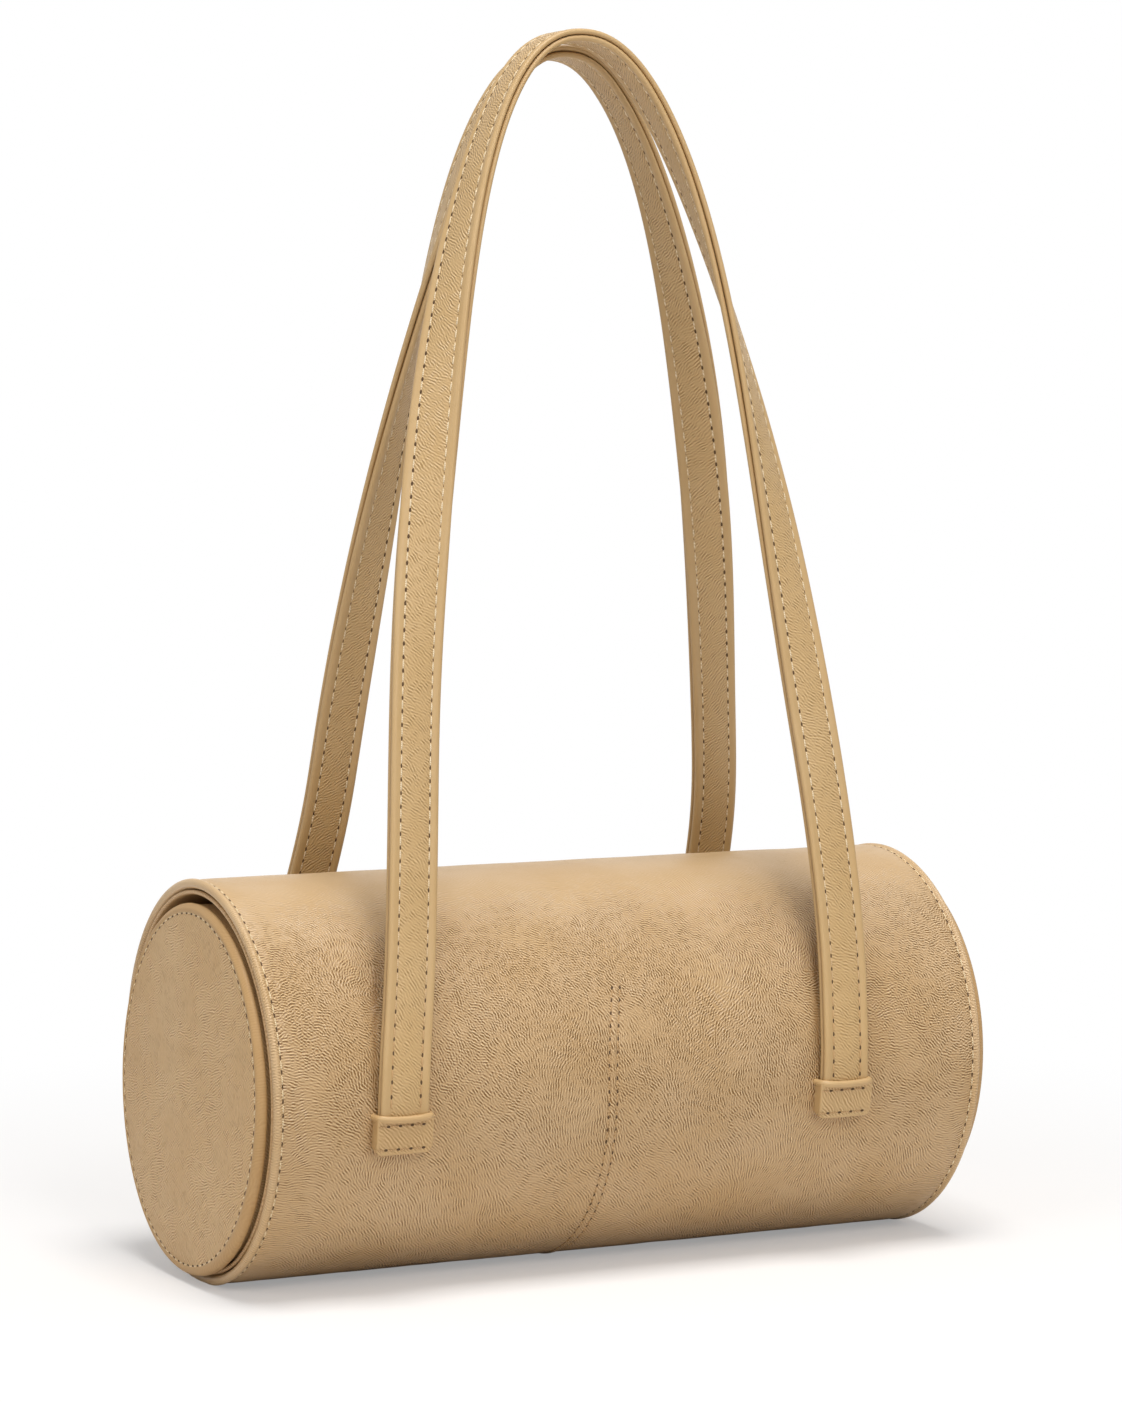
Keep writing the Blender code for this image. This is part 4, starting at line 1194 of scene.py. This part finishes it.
# %% Sew a row
def sew(name, rows, pitch, slit, thread=thread_finish, rise=0.16, **hand):
    """Copies the stitch to every place of every row. A row is (points, along, out)."""
    points, faces, finish = one_stitch(pitch, slit, rise)
    middle, along, out = (np.concatenate(column) for column in zip(*rows))
    along, out = unit(along), unit(out)
    across = unit(np.cross(out, along))
    spots = (middle[:, None] + along[:, None] * points[None, :, :1]
             + across[:, None] * points[None, :, 1:2] + out[:, None] * points[None, :, 2:]) * MM
    spots[:, :, 2] = np.maximum(spots[:, :, 2], 0.0)
    mesh = bpy.data.meshes.new(name)
    many = [tuple(i + k * len(points) for i in face) for k in range(len(middle)) for face in faces]
    mesh.from_pydata(spots.reshape(-1, 3).tolist(), [], many)
    piece = bpy.data.objects.new(name, mesh)
    bpy.context.collection.objects.link(piece)
    pick(piece)
    bpy.ops.object.shade_smooth_by_angle(angle=math.radians(60))
    hand_over(piece, "rim_cord", [thread, hole_shade_finish], **hand)
    mesh.polygons.foreach_set("material_index", finish * len(middle))
    print(f"  {len(middle)} stitches, {pitch} mm apart")

# %% Rows round the rims and the panels
def ring_row(x, radius, pitch, out_x=0.0, centre=AXIS_HEIGHT):
    """A row all the way round, at x and a radius. out_x tilts the way out towards the end."""
    count = round(math.tau * radius / pitch)
    turn = math.tau * np.arange(count) / count
    along = round_axis(0.0, 1.0, turn + math.pi / 2, 0.0)
    out = round_axis(out_x, math.sqrt(1 - out_x * out_x), turn, 0.0)
    return round_axis(x, radius, turn, centre), along, out

for name, side in (("mouth", -1), ("end", 1)):
    row = press(ring_row(side * (HALF_LENGTH - 3.0), 71.94, 5.0), barrel)
    sew(name + "_rim_stitches", [row], 5.0, (1.9, 1.0))

lean = np.array(LEAN.to_3x3()).T
points, along, out = ring_row(LID_FRONT + 0.14, 63.1, 4.6, -0.98, FACE_CENTRE)
row = points @ lean + np.array(LEAN.translation) / MM, along @ lean, out @ lean
sew("lid_stitches", [press(row, lid_face)], 4.6, (2.2, 1.3), body="lid")
row = ring_row(END_FRONT - 0.14, 63.1, 4.6, 0.98)
sew("end_stitches", [press(row, end_face)], 4.6, (2.2, 1.3))

# %% Rows beside the belly seam
def seam_row(offset, pitch=4.7, radius=72.32):
    """One row of the belly seam, down the front, under and up the back."""
    step = math.degrees(pitch / TUBE_RADIUS)
    turn = np.radians(np.arange(-180 - SEAM_TOP + 1.5, SEAM_TOP - 1, step))
    points = round_axis(seam_x(np.degrees(turn)) + offset, radius, turn)
    points[:, 2] = np.maximum(points[:, 2], 0.12)
    return points, np.gradient(points, axis=0), round_axis(0.0, 1.0, turn, 0.0)

sew("seam_stitches", [press(seam_row(way * 1.55), barrel) for way in (-1, 1)], 4.7, (1.6, 0.9),
    sunk_thread_finish, 0.05)

# %% Rows along the straps
def strap_rows(name, pitch=4.8, margin=12.6):
    """Four rows: two on the strap's face and two on its backing, from keeper to keeper."""
    middle, along, across, out, length = frames[name]
    spots = np.arange(margin + pitch / 2, length[-1] - margin, pitch)
    middle, along, across, out = (part_way(spots, length, p) for p in (middle, along, across, out))
    return [(middle + across * row + out * 1.90 * way, along, out * way)
            for way in (1, -1) for row in (-STITCH_ROW, STITCH_ROW)]

for name in STRAPS:
    sew(f"{name}_strap_stitches", strap_rows(name), 4.8, (1.7, 0.9), strap_thread_finish, 0.10,
        body=f"{name}_handle", fold=fold_of(name))

# %% Rows on the keepers
def keeper_row(name, hand, up, pitch, count=4):
    """A short row across a keeper, at a height over the axis. Each hole is at a stitch's right."""
    x = foot_x(name, hand) + pitch * (np.arange(count) - count / 2)
    turn = up / TUBE_RADIUS
    out = np.tile([0.0, SIDES[name] * math.cos(turn), math.sin(turn)], (count, 1))
    points = out * (TUBE_RADIUS + 6.27) + [0.0, 0.0, AXIS_HEIGHT]
    points[:, 0] = x
    return points, np.tile([1.0, 0.0, 0.0], (count, 1)), out

for level, up, pitch in (("upper", UPPER_ROW, 4.5), ("lower", LOWER_ROW, 4.8)):
    rows = []
    for (name, hand), piece in keepers.items():
        points, _, out = press(keeper_row(name, hand, up, pitch), piece)
        rows.append((points + 0.1 * out, np.gradient(points, axis=0), out))
    sew(f"keeper_{level}_stitches", rows, pitch, (1.5, 0.95), sunk_thread_finish, 0.05)

# %% [markdown]
# ## What stays as it came
# The boards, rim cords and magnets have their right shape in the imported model, and they are hidden
# inside. They only get their finish.

# %% Finishes for the hidden pieces
HIDDEN = {
    "body_board": board_finish, "lid_board": board_finish, "end_board": board_finish,
    "mouth_rim_cord": cord_finish, "end_rim_cord": cord_finish,
    "lid_magnet": steel_finish, "mouth_magnet": steel_finish,
}
for name, finish in HIDDEN.items():
    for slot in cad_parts[name].material_slots:
        slot.material = finish
print("finished", len(HIDDEN), "hidden pieces")

# %% Size and finish
low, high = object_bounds()
print("visual box, mm:", [round(1000 * v, 1) for v in (*low, *high)])
